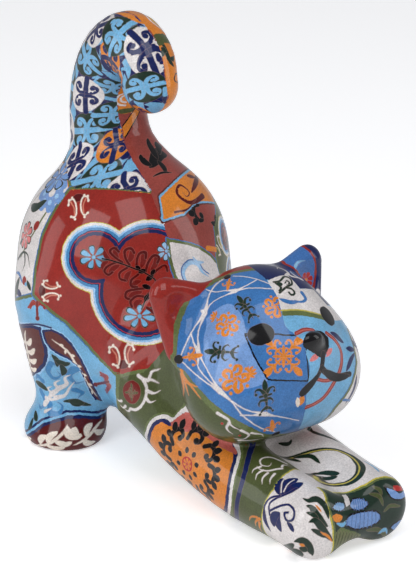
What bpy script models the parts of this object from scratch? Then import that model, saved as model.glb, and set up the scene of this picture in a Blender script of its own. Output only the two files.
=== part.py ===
"""Cat figurine: a house cat stretching, front down and rump up, cast as one glazed ceramic piece.

The cat faces -Y, its left side is +X, and it stands on z = 0 on two hind feet and two forelegs
laid along the ground.  The body is a set of limbs, each a chain of balls whose size changes along a
smooth line, joined by soft fillets.  Rough balls are placed along the limbs and fused, and the fused
skin is then drawn onto the exact filleted surface.  A floor block trims the four soles flat.
"""

import math

import bmesh
import bpy
import numpy as np
from mathutils import Matrix, Vector

MM = 0.001

# Limb lines: (x, y, z, radius) in millimetres.  Paired limbs are given for the left side.
RUMP_CENTRE = (0.0, 50.0, 77.3)
RUMP_RADII = (46.3, 45.5, 47.7)
TORSO_LINE = ((0, 48, 66, 36), (0, 28, 48, 34.5), (0, -5, 43, 29), (0, -32, 38, 22))
NECK_LINE = ((0, -15, 56, 24), (0, -45, 60, 28))
TAIL_LINE = (
    (0, 52, 110, 21.5),
    (0, 58.5, 128, 17.6),
    (0, 61, 143, 16.4),
    (0, 59.5, 156, 15.3),
    (0, 53, 167, 14.5),
    (0, 42, 173, 13.6),
    (0, 31.5, 168, 12.5),
    (0, 27.5, 158, 11.6),
)
HIND_LEG_LINE = ((29, 50, 56, 19), (32.5, 50, 38, 14.5), (33, 50, 24, 11.5), (33, 49, 10, 12))
HIND_FOOT_CENTRE = (33.0, 48.0, 5.0)
HIND_FOOT_RADII = (17.5, 18.5, 11.5)
FORELEG_LINE = (
    (17, 0, 38, 18),
    (15.5, -25, 23, 16),
    (15, -60, 15.2, 15.5),
    (14.3, -90, 13.7, 14.1),
    (14.6, -112, 13, 13.9),
)
FORELEG_LEAN = 1.6  # how far both paws lie to the cat's left of its middle
PAW_FRONT_Y = -114.0
PAW_ROUNDING = 10.0

# Head, all leaning back by HEAD_PITCH degrees so that the face looks a little upwards.
HEAD_PITCH = 15.0
CROWN_CENTRE = (0.0, -49.5, 67.5)
CROWN_RADII = (31.0, 31.5, 32.5)
CHEEK_LINE = ((-15.8, -59.3, 56.5, 23), (15.8, -59.3, 56.5, 23))
MUZZLE_CENTRE = (0.0, -71.0, 73.0)
MUZZLE_RADII = (17.0, 14.0, 12.5)
NOSE_CENTRE = (0.0, -83.4, 79.0)
NOSE_RADII = (6.0, 3.2, 4.6)
NOSE_PITCH = 20.0
EAR_CORNERS = ((17.0, -41.0, 87.0), (31.0, -43.0, 71.5), (35.0, -38.0, 92.8))
EAR_SHIFT = 2.0  # both ears sit this far towards the right side
EAR_RIM_RADIUS = 7.0
EAR_FLATNESS = 1.5  # rim radius over half thickness
EAR_DISH_RADIUS = 10.0
EAR_DISH_DEPTH = 2.2
EAR_DISH_SHIFT = (3.6, 0.5, 3.0)

# Fillets between the limbs, in millimetres.
TORSO_FILLET = 14.0
TAIL_FILLET = 10.0
THIGH_FILLET = 18.5
ANKLE_FILLET = 7.0
SHOULDER_FILLET = 12.0
CHEST_WEB_FILLET = 9.0
PAW_WEB_FILLET = 13.0
NECK_FILLET = 10.0
CHEEK_FILLET = 12.0
EAR_FILLET = 6.0
MUZZLE_FILLET = 8.0
CHIN_FILLET = 5.0
EAR_DISH_LIP = 3.0
NOSE_FILLET = 2.5

# Faceting.
FUSE_VOXEL = 2.9
FACE_TARGET = 8200

GLAZE_COLOUR = (0.36, 0.20, 0.17, 1.0)
GLAZE_ROUGHNESS = 0.12
NODE_NAME = "cat_figurine"


def limb_samples(line, count):
    """Points and radii along a Catmull-Rom curve through the stations of a limb."""
    rows = np.asarray(line, float)
    padded = np.vstack([2 * rows[0] - rows[1], rows, 2 * rows[-1] - rows[-2]])
    place = np.linspace(0, len(rows) - 1, count)
    span = np.minimum(place.astype(int), len(rows) - 2)
    u = (place - span)[:, None]
    before, start, end, after = (padded[span + k] for k in range(4))
    return 0.5 * (
        2 * start
        + (end - before) * u
        + (2 * before - 5 * start + 4 * end - after) * u**2
        + (3 * start - before - 3 * end + after) * u**3
    )


def fillet(a, b, width):
    """The smaller of two distances, with a round fillet of the given width where they are alike."""
    h = np.clip(0.5 + 0.5 * (b - a) / width, 0, 1)
    return b * (1 - h) + a * h - width * h * (1 - h)


def hollow(a, b, width):
    """The part of a that is outside b, with a rounded lip."""
    return -fillet(-a, b, width)


def limb_distance(points, line, count):
    """Distance to a limb: to the nearest of its tapering segments, less the radius there."""
    samples = limb_samples(line, count)
    nearest = np.full(len(points), np.inf)
    for start, end in zip(samples[:-1], samples[1:]):
        along = end[:3] - start[:3]
        from_start = points - start[:3]
        share = np.clip(from_start @ along / (along @ along), 0, 1)
        gap = np.linalg.norm(from_start - share[:, None] * along, axis=1)
        nearest = np.minimum(nearest, gap - start[3] - (end[3] - start[3]) * share)
    return nearest


def ball_distance(points, centre, radii, pitch=0.0):
    """Near distance to an ellipsoid whose front is tipped up by pitch degrees."""
    c = math.cos(math.radians(pitch))
    s = math.sin(math.radians(pitch))
    turn = np.array([[1, 0, 0], [0, c, s], [0, -s, c]])
    local = (points - np.asarray(centre, float)) @ turn.T
    radii = np.asarray(radii, float)
    scaled = np.linalg.norm(local / radii, axis=1)
    slope = np.linalg.norm(local / radii**2, axis=1)
    return scaled * (scaled - 1) / np.maximum(slope, 1e-9)


def ear_frame():
    """Corners, middle and outward normal of the three-cornered plate of the left ear."""
    a, b, c = (np.asarray(corner, float) for corner in EAR_CORNERS)
    normal = np.cross(b - a, c - a)
    return (a, b, c), (a + b + c) / 3, normal / np.linalg.norm(normal)


def plate_distance(points, corners, normal):
    """Distance to a flat three-cornered plate without thickness."""
    a, b, c = corners
    edges = ((a, b - a), (b, c - b), (c, a - c))
    inside = sum(np.sign((points - start) @ np.cross(normal, edge)) for start, edge in edges)
    rim = np.full(len(points), np.inf)
    for start, edge in edges:
        from_start = points - start
        share = np.clip(from_start @ edge / (edge @ edge), 0, 1)
        rim = np.minimum(rim, np.linalg.norm(from_start - share[:, None] * edge, axis=1))
    face = np.abs((points - a) @ normal)
    return np.where(inside < 2, rim, face)


def ear_distance(points):
    """An ear: a plate with a round rim that is thinner than it is wide."""
    corners, middle, normal = ear_frame()
    lift = (points - middle) @ normal
    thinned = points + normal * (lift * (EAR_FLATNESS - 1))[:, None]
    return (plate_distance(thinned, corners, normal) - EAR_RIM_RADIUS) / EAR_FLATNESS**0.5


def ear_dish_distance(points):
    """The round hollow in the front of an ear."""
    _, middle, normal = ear_frame()
    reach = EAR_RIM_RADIUS / EAR_FLATNESS + EAR_DISH_RADIUS - EAR_DISH_DEPTH
    centre = middle + normal * reach + np.array(EAR_DISH_SHIFT)
    return np.linalg.norm(points - centre, axis=1) - EAR_DISH_RADIUS


def foreleg_distance(points):
    """One foreleg, cut off by the rounded front of its paw."""
    leg = limb_distance(points, FORELEG_LINE, 14)
    return hollow(leg, points[:, 1] - PAW_FRONT_Y, PAW_ROUNDING)


def forelegs_distance(points):
    """Both forelegs, with a web between them that widens towards the paws."""
    lean = FORELEG_LEAN * np.clip((-20 - points[:, 1]) / 50, 0, 1)
    near = np.column_stack((np.abs(points[:, 0] - lean), points[:, 1:]))
    far = near * np.array([-1, 1, 1])
    web = np.interp(points[:, 1], (-98, -55), (PAW_WEB_FILLET, CHEST_WEB_FILLET))
    return fillet(foreleg_distance(near), foreleg_distance(far), web)


def body_distance(points):
    """Rump, torso, tail, legs and neck, in millimetres."""
    side = np.column_stack((np.abs(points[:, 0]), points[:, 1:]))
    body = ball_distance(side, RUMP_CENTRE, RUMP_RADII)
    body = fillet(body, limb_distance(side, TORSO_LINE, 14), TORSO_FILLET)
    body = fillet(body, limb_distance(side, TAIL_LINE, 24), TAIL_FILLET)
    hind = limb_distance(side, HIND_LEG_LINE, 14)
    hind = fillet(hind, ball_distance(side, HIND_FOOT_CENTRE, HIND_FOOT_RADII), ANKLE_FILLET)
    body = fillet(body, hind, THIGH_FILLET)
    body = fillet(body, forelegs_distance(points), SHOULDER_FILLET)
    return fillet(body, limb_distance(side, NECK_LINE, 4), NECK_FILLET)


def head_distance(points):
    """Crown, cheeks, ears with their hollows, muzzle and nose, in millimetres."""
    side = np.column_stack((np.abs(points[:, 0]), points[:, 1:]))
    head = ball_distance(side, CROWN_CENTRE, CROWN_RADII, HEAD_PITCH)
    head = fillet(head, limb_distance(side, CHEEK_LINE, 2), CHEEK_FILLET)
    ears = np.column_stack((np.abs(points[:, 0] + EAR_SHIFT), points[:, 1:]))
    head = fillet(head, ear_distance(ears), EAR_FILLET)
    head = hollow(head, ear_dish_distance(ears), EAR_DISH_LIP)
    muzzle = ball_distance(side, MUZZLE_CENTRE, MUZZLE_RADII, HEAD_PITCH)
    head = fillet(head, muzzle, MUZZLE_FILLET)
    return fillet(head, ball_distance(side, NOSE_CENTRE, NOSE_RADII, NOSE_PITCH), NOSE_FILLET)


def cat_distance(points):
    """The whole cat before its soles are cut flat, in millimetres."""
    return fillet(body_distance(points), head_distance(points), CHIN_FILLET)


def clear_scene():
    """Removes every object and every collection of the scene."""
    for old in list(bpy.data.objects):
        bpy.data.objects.remove(old, do_unlink=True)
    for old in list(bpy.data.collections):
        bpy.data.collections.remove(old)


def new_collection(name):
    collection = bpy.data.collections.new(name)
    bpy.context.scene.collection.children.link(collection)
    return collection


def add_ball(bm, centre, radii):
    """One rough ball of the given radii, all in millimetres."""
    sizes = Matrix.Diagonal((radii[0] * MM, radii[1] * MM, radii[2] * MM, 1.0))
    place = Matrix.Translation(Vector(centre) * MM)
    bmesh.ops.create_icosphere(bm, subdivisions=3, radius=1.0, matrix=place @ sizes)


def add_limb(bm, line, mirrored):
    """Rough balls along a limb, a third of a radius apart, and on the other side if it has a twin."""
    rows = np.asarray(line, float)
    length = np.linalg.norm(np.diff(rows[:, :3], axis=0), axis=1).sum()
    count = max(2, int(math.ceil(length / (rows[:, 3].min() * 0.35))))
    for x, y, z, radius in limb_samples(line, count):
        for side in (1, -1) if mirrored else (1,):
            add_ball(bm, (x * side, y, z), (radius, radius, radius))


def add_ear(bm, side):
    """Rough balls spread over the three-cornered plate of one ear."""
    a, b, c = (Vector(corner) for corner in EAR_CORNERS)
    steps = 5
    for i in range(steps + 1):
        for j in range(steps + 1 - i):
            spot = a + (b - a) * (i / steps) + (c - a) * (j / steps)
            place = (spot.x * side - EAR_SHIFT, spot.y, spot.z)
            add_ball(bm, place, (EAR_RIM_RADIUS / EAR_FLATNESS,) * 3)


def rough_cat():
    """A mesh of overlapping balls that roughly fills the cat."""
    bm = bmesh.new()
    add_ball(bm, RUMP_CENTRE, RUMP_RADII)
    add_limb(bm, TORSO_LINE, False)
    add_limb(bm, NECK_LINE, False)
    add_limb(bm, TAIL_LINE, False)
    add_limb(bm, CHEEK_LINE, False)
    add_limb(bm, HIND_LEG_LINE, True)
    add_limb(bm, FORELEG_LINE[:-1] + ((14.6, -104, 13, 12),), True)
    add_ball(bm, CROWN_CENTRE, CROWN_RADII)
    add_ball(bm, NOSE_CENTRE, NOSE_RADII)
    for side in (1, -1):
        add_ball(bm, (HIND_FOOT_CENTRE[0] * side, *HIND_FOOT_CENTRE[1:]), HIND_FOOT_RADII)
        add_ear(bm, side)
    mesh = bpy.data.meshes.new("rough_cat")
    bm.to_mesh(mesh)
    bm.free()
    return mesh


def fused(mesh, voxel):
    """The outer skin of a heap of balls, as one closed mesh."""
    helper = bpy.data.objects.new("rough_cat", mesh)
    bpy.context.scene.collection.objects.link(helper)
    remesh = helper.modifiers.new("Fuse", "REMESH")
    remesh.mode = "VOXEL"
    remesh.voxel_size = voxel * MM
    bpy.context.view_layer.update()
    graph = bpy.context.evaluated_depsgraph_get()
    skin = bpy.data.meshes.new_from_object(helper.evaluated_get(graph))
    bpy.data.objects.remove(helper, do_unlink=True)
    return skin


def slope_of(distance, points):
    """Gradient of a distance by central differences, 0.2 mm to each side."""
    step = 0.2
    axes = np.eye(3) * step
    sides = [distance(points + axis) - distance(points - axis) for axis in axes]
    return np.stack(sides, axis=1) / (2 * step)


def draw_onto(mesh, distance):
    """Moves the vertices onto the surface where distance is nil, evening them out on the way."""
    count = len(mesh.vertices)
    flat = np.empty(count * 3, np.float32)
    mesh.vertices.foreach_get("co", flat)
    points = flat.reshape(-1, 3).astype(float) / MM
    ends = np.empty(len(mesh.edges) * 2, np.int32)
    mesh.edges.foreach_get("vertices", ends)
    ends = ends.reshape(-1, 2)
    neighbours = np.bincount(ends.ravel(), minlength=count)[:, None]
    for turn in range(12):
        if turn < 8:
            around = np.zeros_like(points)
            np.add.at(around, ends[:, 0], points[ends[:, 1]])
            np.add.at(around, ends[:, 1], points[ends[:, 0]])
            points += 0.5 * (around / neighbours - points)
        slope = slope_of(distance, points)
        steepness = np.maximum((slope**2).sum(axis=1), 0.05)
        step = distance(points) / steepness
        points -= np.clip(step, -3, 3)[:, None] * slope
    return points


def glaze_material():
    """Clear glaze over mixed brick-red, blue and white colours, as one middle tone."""
    material = bpy.data.materials.new("glazed_ceramic")
    material.use_nodes = True
    shader = material.node_tree.nodes["Principled BSDF"]
    shader.inputs["Base Color"].default_value = GLAZE_COLOUR
    shader.inputs["Roughness"].default_value = GLAZE_ROUGHNESS
    shader.inputs["Metallic"].default_value = 0.0
    material.diffuse_color = GLAZE_COLOUR
    return material


def floor_cutter(collection):
    """A block whose top is the ground, for trimming the soles flat."""
    bpy.ops.mesh.primitive_cube_add(size=1.0, location=(0, 0, -0.02))
    block = bpy.context.active_object
    block.name = "floor_cutter"
    block.scale = (0.4, 0.5, 0.04)
    for holder in list(block.users_collection):
        holder.objects.unlink(block)
    collection.objects.link(block)
    block.hide_render = True
    block.display_type = "WIRE"
    return block


def build_cat():
    parts = new_collection("Cat figurine")
    cutters = new_collection("Cutters")
    mesh = fused(rough_cat(), FUSE_VOXEL)
    points = draw_onto(mesh, cat_distance)
    middle = (points[:, :2].min(axis=0) + points[:, :2].max(axis=0)) / 2
    points[:, :2] -= middle
    mesh.vertices.foreach_set("co", (points * MM).astype(np.float32).ravel())
    mesh.name = NODE_NAME
    mesh.materials.clear()
    mesh.materials.append(glaze_material())
    mesh.update()
    cat = bpy.data.objects.new(NODE_NAME, mesh)
    parts.objects.link(cat)
    triangles = cat.modifiers.new("Triangles", "TRIANGULATE")
    triangles.quad_method = "SHORTEST_DIAGONAL"
    thinner = cat.modifiers.new("Facets", "DECIMATE")
    thinner.ratio = min(1.0, FACE_TARGET / (2 * len(mesh.polygons)))
    soles = cat.modifiers.new("Flat soles", "BOOLEAN")
    soles.operation = "DIFFERENCE"
    soles.solver = "EXACT"
    soles.object = floor_cutter(cutters)
    mesh.shade_smooth()
    return cat


clear_scene()
build_cat()
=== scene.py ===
import math

import bpy
import numpy as np
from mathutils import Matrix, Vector

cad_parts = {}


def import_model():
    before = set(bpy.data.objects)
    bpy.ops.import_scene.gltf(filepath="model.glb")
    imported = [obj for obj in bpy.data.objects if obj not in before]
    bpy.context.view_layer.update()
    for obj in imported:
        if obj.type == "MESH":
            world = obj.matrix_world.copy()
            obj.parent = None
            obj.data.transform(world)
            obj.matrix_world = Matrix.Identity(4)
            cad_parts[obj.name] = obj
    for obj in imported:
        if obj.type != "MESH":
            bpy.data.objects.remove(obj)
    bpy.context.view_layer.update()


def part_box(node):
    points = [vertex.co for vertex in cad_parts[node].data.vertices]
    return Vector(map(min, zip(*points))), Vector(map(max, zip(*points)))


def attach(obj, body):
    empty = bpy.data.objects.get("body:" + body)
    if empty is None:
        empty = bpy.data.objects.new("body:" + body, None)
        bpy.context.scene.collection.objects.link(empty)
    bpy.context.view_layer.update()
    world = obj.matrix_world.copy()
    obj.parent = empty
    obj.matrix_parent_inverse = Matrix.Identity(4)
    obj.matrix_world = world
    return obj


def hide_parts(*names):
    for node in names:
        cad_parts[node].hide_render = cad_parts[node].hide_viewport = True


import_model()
millimetre = 0.001

# The cat faces -Y and its left side is +X.  Lengths are millimetres, measured from its middle plane.
# Limb lines are (x, y, z, radius) and balls are centre and radii, paired ones given for the left side.
cat = {
    "rump": ((0, 50, 77.3), (46.3, 45.5, 47.7)),
    "torso": ((0, 48, 66, 36), (0, 28, 48, 34.5), (0, -5, 43, 29), (0, -32, 38, 22)),
    "neck": ((0, -15, 56, 24), (0, -45, 60, 28)),
    "tail": (
        (0, 52, 110, 21.5), (0, 58.5, 128, 17.6), (0, 61, 143, 16.4), (0, 59.5, 156, 15.3),
        (0, 53, 167, 14.5), (0, 42, 173, 13.6), (0, 31.5, 168, 12.5), (0, 27.5, 158, 11.6),
    ),
    "hindLeg": ((29, 50, 56, 19), (32.5, 50, 38, 14.5), (33, 50, 24, 11.5), (33, 49, 10, 12)),
    "hindFoot": ((33, 48, 5), (17.5, 18.5, 11.5)),
    "foreleg": (
        (17, 0, 38, 18), (15.5, -25, 23, 16), (15, -60, 15.2, 15.5), (14.3, -90, 13.7, 14.1),
        (14.6, -112, 13, 13.9),
    ),
    "forelegLean": 1.6,
    "pawFront": -114,
    "pawRounding": 10,
    # Where the forelegs start to lean inwards, and over what length.
    "leanFrom": -20,
    "leanOver": 50,
    # Width of the fillet between the forelegs, from place to place along them.
    "web": ((-98, -55), (13, 9)),
    "headPitch": 15,
    "crown": ((0, -49.5, 67.5), (31, 31.5, 32.5)),
    "cheeks": ((-15.8, -59.3, 56.5, 23), (15.8, -59.3, 56.5, 23)),
    "muzzle": ((0, -71, 73), (17, 14, 12.5)),
    "nose": ((0, -83.4, 79), (6, 3.2, 4.6)),
    "nosePitch": 20,
    "earCorners": ((17, -41, 87), (31, -43, 71.5), (35, -38, 92.8)),
    "earShift": (2, 0, 0),
    "earRim": 7,
    "earFlatness": 1.5,
    "earDish": 10,
    "earDishDepth": 2.8,
    "earDishShift": (3.6, 0.5, 3),
    "soleRounding": 1.2,
    # Width of the fillet that joins each limb to what it grows from.
    "fillets": {
        "rump": 14, "tail": 10, "hindFoot": 7, "hindLeg": 18.5, "foreleg": 12, "neck": 10,
        "cheeks": 12, "ear": 6, "earDish": 3, "muzzle": 8, "nose": 2.5, "head": 5,
    },
    # The rough skin: end of a foreleg, radius of an ear's rods and size of a voxel.
    "roughPaw": (14.6, -104, 13, 12),
    "roughEar": 4.6,
    "roughGrain": 2.4,
    "grain": 1.085,
}


def cosSin(angle):
    # Cosine and sine of an angle in degrees.
    return math.cos(math.radians(angle)), math.sin(math.radians(angle))


def softMin(a, b, width):
    # The smaller of two distances, bent round by a fillet where they are alike.
    h = np.clip(0.5 + 0.5 * (b - a) / width, 0, 1)
    return b * (1 - h) + a * h - width * h * (1 - h)


def cutOff(a, b, width):
    # The part of a that is outside b, with a rounded lip.
    return -softMin(-a, b, width)


def lengths(vectors):
    # The length of each row.
    return np.linalg.norm(vectors, axis=1)


def smoothLine(stations, count):
    # Catmull-Rom curve through the stations: a cubic in the share of each span.
    rows = np.asarray(stations, float)
    padded = np.vstack([2 * rows[0] - rows[1], rows, 2 * rows[-1] - rows[-2]])
    place = np.linspace(0, len(rows) - 1, count)
    span = np.minimum(place.astype(int), len(rows) - 2)
    u = (place - span)[:, None]
    p0, p1, p2, p3 = (padded[span + k] for k in range(4))
    cubic = 3 * p1 - p0 - 3 * p2 + p3
    return 0.5 * (2 * p1 + (p2 - p0) * u + (2 * p0 - 5 * p1 + 4 * p2 - p3) * u**2 + cubic * u**3)


def segmentGap(points, start, along):
    # Distance to a segment, and how far along it the nearest place is, as a share.
    offset = points - start
    share = np.clip(offset @ along / (along @ along), 0, 1)
    return lengths(offset - share[:, None] * along), share


def limbDistance(points, line, count=14):
    # Distance to the nearest segment of the line, less the radius at its foot.
    rows = smoothLine(line, count)
    nearest = np.full(len(points), np.inf)
    for start, step in zip(rows[:-1], np.diff(rows, axis=0)):
        gap, share = segmentGap(points, start[:3], step[:3])
        nearest = np.minimum(nearest, gap - start[3] - step[3] * share)
    return nearest


def ballDistance(points, ball, pitch=0):
    # Near distance to an ellipsoid tipped up by the pitch: k(k-1)/slope, with k the scaled radius.
    centre, radii = np.asarray(ball[0], float), np.asarray(ball[1], float)
    c, s = cosSin(pitch)
    local = (points - centre) @ np.array([[1, 0, 0], [0, c, s], [0, -s, c]]).T
    scaled = lengths(local / radii)
    return scaled * (scaled - 1) / np.maximum(lengths(local / radii**2), 1e-9)


def earDistance(points):
    # Distance to a three-cornered plate in a space stretched along its normal, less the rim radius.
    corners = np.array(cat["earCorners"], float)
    a, b, c = corners
    normal = np.cross(b - a, c - a)
    normal /= np.linalg.norm(normal)
    middle = corners.mean(axis=0)
    lift = (points - middle) @ normal
    q = points + normal * (lift * (cat["earFlatness"] - 1))[:, None]
    rim = np.full(len(points), np.inf)
    inside = np.zeros(len(points))
    for start, edge in ((a, b - a), (b, c - b), (c, a - c)):
        rim = np.minimum(rim, segmentGap(q, start, edge)[0])
        inside += np.sign((q - start) @ np.cross(normal, edge))
    plate = np.where(inside < 2, rim, np.abs((q - a) @ normal))
    ear = (plate - cat["earRim"]) / cat["earFlatness"] ** 0.5
    reach = cat["earRim"] / cat["earFlatness"] + cat["earDish"] - cat["earDishDepth"]
    dish = lengths(points - middle - normal * reach - cat["earDishShift"])
    return ear, dish - cat["earDish"]


def bodyDistance(points):
    # Rounded union of the rump, torso, tail, legs and neck, the same on both sides but for the lean.
    width = cat["fillets"]
    side = np.column_stack((np.abs(points[:, 0]), points[:, 1:]))
    body = softMin(ballDistance(side, cat["rump"]), limbDistance(side, cat["torso"]), width["rump"])
    body = softMin(body, limbDistance(side, cat["tail"], 24), width["tail"])
    leg = limbDistance(side, cat["hindLeg"])
    leg = softMin(leg, ballDistance(side, cat["hindFoot"]), width["hindFoot"])
    body = softMin(body, leg, width["hindLeg"])
    lean = cat["forelegLean"] * np.clip((cat["leanFrom"] - points[:, 1]) / cat["leanOver"], 0, 1)
    near = np.column_stack((np.abs(points[:, 0] - lean), points[:, 1:]))
    end = points[:, 1] - cat["pawFront"]
    legs = [limbDistance(near * (flip, 1, 1), cat["foreleg"]) for flip in (1, -1)]
    legs = [cutOff(leg, end, cat["pawRounding"]) for leg in legs]
    web = np.interp(points[:, 1], *cat["web"])
    body = softMin(body, softMin(*legs, web), width["foreleg"])
    return softMin(body, limbDistance(side, cat["neck"], 4), width["neck"])


def skullDistance(points):
    # Rounded union of the crown and the two cheeks.
    crown = ballDistance(points, cat["crown"], cat["headPitch"])
    return softMin(crown, limbDistance(points, cat["cheeks"], 2), cat["fillets"]["cheeks"])


def headDistance(points):
    # Rounded union of the skull, the ears less their dished fronts, the muzzle and the nose.
    width = cat["fillets"]
    side = np.column_stack((np.abs(points[:, 0]), points[:, 1:]))
    lifted = points + cat["earShift"]
    ear, dish = earDistance(np.column_stack((np.abs(lifted[:, 0]), points[:, 1:])))
    head = cutOff(softMin(skullDistance(side), ear, width["ear"]), dish, width["earDish"])
    head = softMin(head, ballDistance(side, cat["muzzle"], cat["headPitch"]), width["muzzle"])
    return softMin(head, ballDistance(side, cat["nose"], cat["nosePitch"]), width["nose"])


def catDistance(points):
    # The whole cat, with its soles cut flat by the ground.
    whole = softMin(bodyDistance(points), headDistance(points), cat["fillets"]["head"])
    return cutOff(whole, points[:, 2], cat["soleRounding"])


def slopeOf(distance, points):
    # Gradient from four values on the corners of a small tetrahedron.
    corners = np.array([(1, 1, 1), (1, -1, -1), (-1, 1, -1), (-1, -1, 1)], float)
    return sum(corner * distance(points + 0.15 * corner)[:, None] for corner in corners) / 0.6


def sweptSkin(line, count, around=20):
    # A ball whose size changes along a line: rings across the path, with half a ball at each end.
    rows = smoothLine(line, count)
    heading = np.gradient(rows[:, :3], axis=0)
    heading /= lengths(heading)[:, None]
    cap = np.linspace(0.02, 1, 6) * math.pi / 2
    first = rows[0, :3] - heading[0] * (rows[0, 3] * np.cos(cap))[:, None]
    last = rows[-1, :3] + heading[-1] * (rows[-1, 3] * np.cos(cap))[::-1, None]
    centres = np.vstack([first, rows[1:-1, :3], last])
    radii = np.concatenate([rows[0, 3] * np.sin(cap), rows[1:-1, 3], rows[-1, 3] * np.sin(cap)[::-1]])
    heading = np.vstack([np.tile(heading[0], (6, 1)), heading[1:-1], np.tile(heading[-1], (6, 1))])
    away = np.array([0.0, 0, 1]) if abs(heading[0, 0]) > 0.8 else np.array([1.0, 0, 0])
    side = np.cross(heading, away)
    side /= lengths(side)[:, None]
    other = np.cross(heading, side)
    turn = np.linspace(0, 2 * math.pi, around, endpoint=False)
    spokes = side[:, None] * np.cos(turn)[None, :, None] + other[:, None] * np.sin(turn)[None, :, None]
    return centres[:, None] + radii[:, None, None] * spokes


def ballSkin(ball, around=28):
    # An ellipsoid by latitude and longitude.
    rise, turn = np.meshgrid(
        np.linspace(-0.499, 0.499, 18) * math.pi,
        np.linspace(0, 2 * math.pi, around, endpoint=False),
        indexing="ij",
    )
    unit = np.stack([np.cos(rise) * np.cos(turn), np.cos(rise) * np.sin(turn), np.sin(rise)], axis=2)
    return np.asarray(ball[0]) + unit * ball[1]


def gridFaces(rows, columns, first):
    # Quads between neighbouring rings, and one face over each end ring.
    ring = np.arange(columns)
    start = first + np.arange(rows - 1)[:, None] * columns
    after = (ring + 1) % columns
    quads = np.stack([start + ring, start + after, start + columns + after, start + columns + ring], axis=2)
    ends = [list(first + ring[::-1]), list(first + (rows - 1) * columns + ring)]
    return quads.reshape(-1, 4).tolist() + ends


def added(name, data):
    # A new object in the scene.
    obj = bpy.data.objects.new(name, data)
    bpy.context.scene.collection.objects.link(obj)
    return obj


def newMaterial(name):
    # A material with its nodes, and its shader.
    material = bpy.data.materials.new(name)
    material.use_nodes = True
    return material, material.node_tree.nodes["Principled BSDF"]


def remeshed(points, faces, grain):
    # Fuses a heap of closed skins into one outer skin of even triangles.
    mesh = bpy.data.meshes.new("rough")
    mesh.from_pydata(points.tolist(), [], faces)
    helper = added("rough", mesh)
    fuse = helper.modifiers.new("Fuse", "REMESH")
    fuse.mode = "VOXEL"
    fuse.voxel_size = grain
    triangles = helper.modifiers.new("Triangles", "TRIANGULATE")
    triangles.quad_method = "SHORTEST_DIAGONAL"
    bpy.context.view_layer.update()
    skin = helper.evaluated_get(bpy.context.evaluated_depsgraph_get()).to_mesh()
    flat = np.empty(len(skin.vertices) * 3, np.float32)
    skin.vertices.foreach_get("co", flat)
    corners = np.empty(len(skin.polygons) * 3, np.int32)
    skin.polygons.foreach_get("vertices", corners)
    bpy.data.objects.remove(helper, do_unlink=True)
    return flat.reshape(-1, 3).astype(float), corners.reshape(-1, 3)


def drawOnto(points, faces, turns, evened):
    # Newton steps towards the surface, moving each vertex towards its neighbours' middle on the way.
    ends = np.vstack([faces[:, [0, 1]], faces[:, [1, 2]], faces[:, [2, 0]]])
    weight = np.bincount(ends[:, 0], minlength=len(points))[:, None]
    for turn in range(turns):
        if turn < evened:
            sums = [np.bincount(ends[:, 0], points[ends[:, 1], k], len(points)) for k in range(3)]
            points = points + 0.5 * (np.stack(sums, axis=1) / weight - points)
        slope = slopeOf(catDistance, points)
        step = catDistance(points) / np.maximum((slope**2).sum(axis=1), 0.05)
        points = points - np.clip(step, -3, 3)[:, None] * slope
    return points, slope / lengths(slope)[:, None]


def catSkin():
    # The rough limbs fused at a coarse grain and drawn onto the surface, then fused again at a fine one.
    skins = [ballSkin(cat[name]) for name in ("rump", "crown", "muzzle", "nose")]
    skins += [sweptSkin(cat[name], count) for name, count in (("torso", 12), ("neck", 6), ("cheeks", 6))]
    skins.append(sweptSkin(cat["tail"], 26))
    middle = np.append(np.mean(cat["earCorners"], axis=0), cat["roughEar"])
    corners = [np.append(corner, cat["roughEar"]) for corner in np.asarray(cat["earCorners"], float)]
    spans = [(corners[k], corners[(k + 1) % 3]) for k in range(3)]
    spans += [(corner, middle) for corner in corners]
    for side in (np.array([1, 1, 1, 1]), np.array([-1, 1, 1, 1])):
        skins.append(sweptSkin(np.array(cat["hindLeg"]) * side, 10))
        skins.append(sweptSkin(np.array(cat["foreleg"][:-1] + (cat["roughPaw"],)) * side, 18))
        skins.append(ballSkin((np.array(cat["hindFoot"][0]) * side[:3], cat["hindFoot"][1])))
        skins += [sweptSkin(np.array(span) * side - (*cat["earShift"], 0), 5) for span in spans]
    points, faces, first = [], [], 0
    for skin in skins:
        faces += gridFaces(skin.shape[0], skin.shape[1], first)
        points.append(skin.reshape(-1, 3))
        first += len(points[-1])
    rough, faces = remeshed(np.vstack(points), faces, cat["roughGrain"])
    rough, _ = drawOnto(rough, faces, turns=9, evened=6)
    print("rough skin", len(faces))
    fine, faces = remeshed(rough, faces.tolist(), cat["grain"])
    fine, slope = drawOnto(fine, faces, turns=3, evened=1)
    print("fine skin", len(faces))
    return fine, slope, faces


def unit(vector):
    # The same direction, one long.
    return np.asarray(vector, float) / np.linalg.norm(vector)


def roundMap(points, centre, facing, radius):
    # A sheet wrapped round a ball: the angle from the facing direction, as an arc length.
    normal = unit(facing)
    across = unit(np.cross((0, 0, 1), normal))
    upward = np.cross(normal, across)
    offset = points - centre
    reach = lengths(offset)
    cosine = np.clip(offset @ normal / reach, -1, 1)
    arc = radius * np.arccos(cosine) / np.maximum(np.sqrt(1 - cosine**2), 1e-6) / reach
    return np.column_stack((offset @ across * arc, offset @ upward * arc))


def flatMap(points, centre, facing):
    # Places on the plane across the facing direction.
    normal = unit(facing)
    across = unit(np.cross((0, 0, 1), normal))
    return np.column_stack(((points - centre) @ across, (points - centre) @ np.cross(normal, across)))


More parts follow.
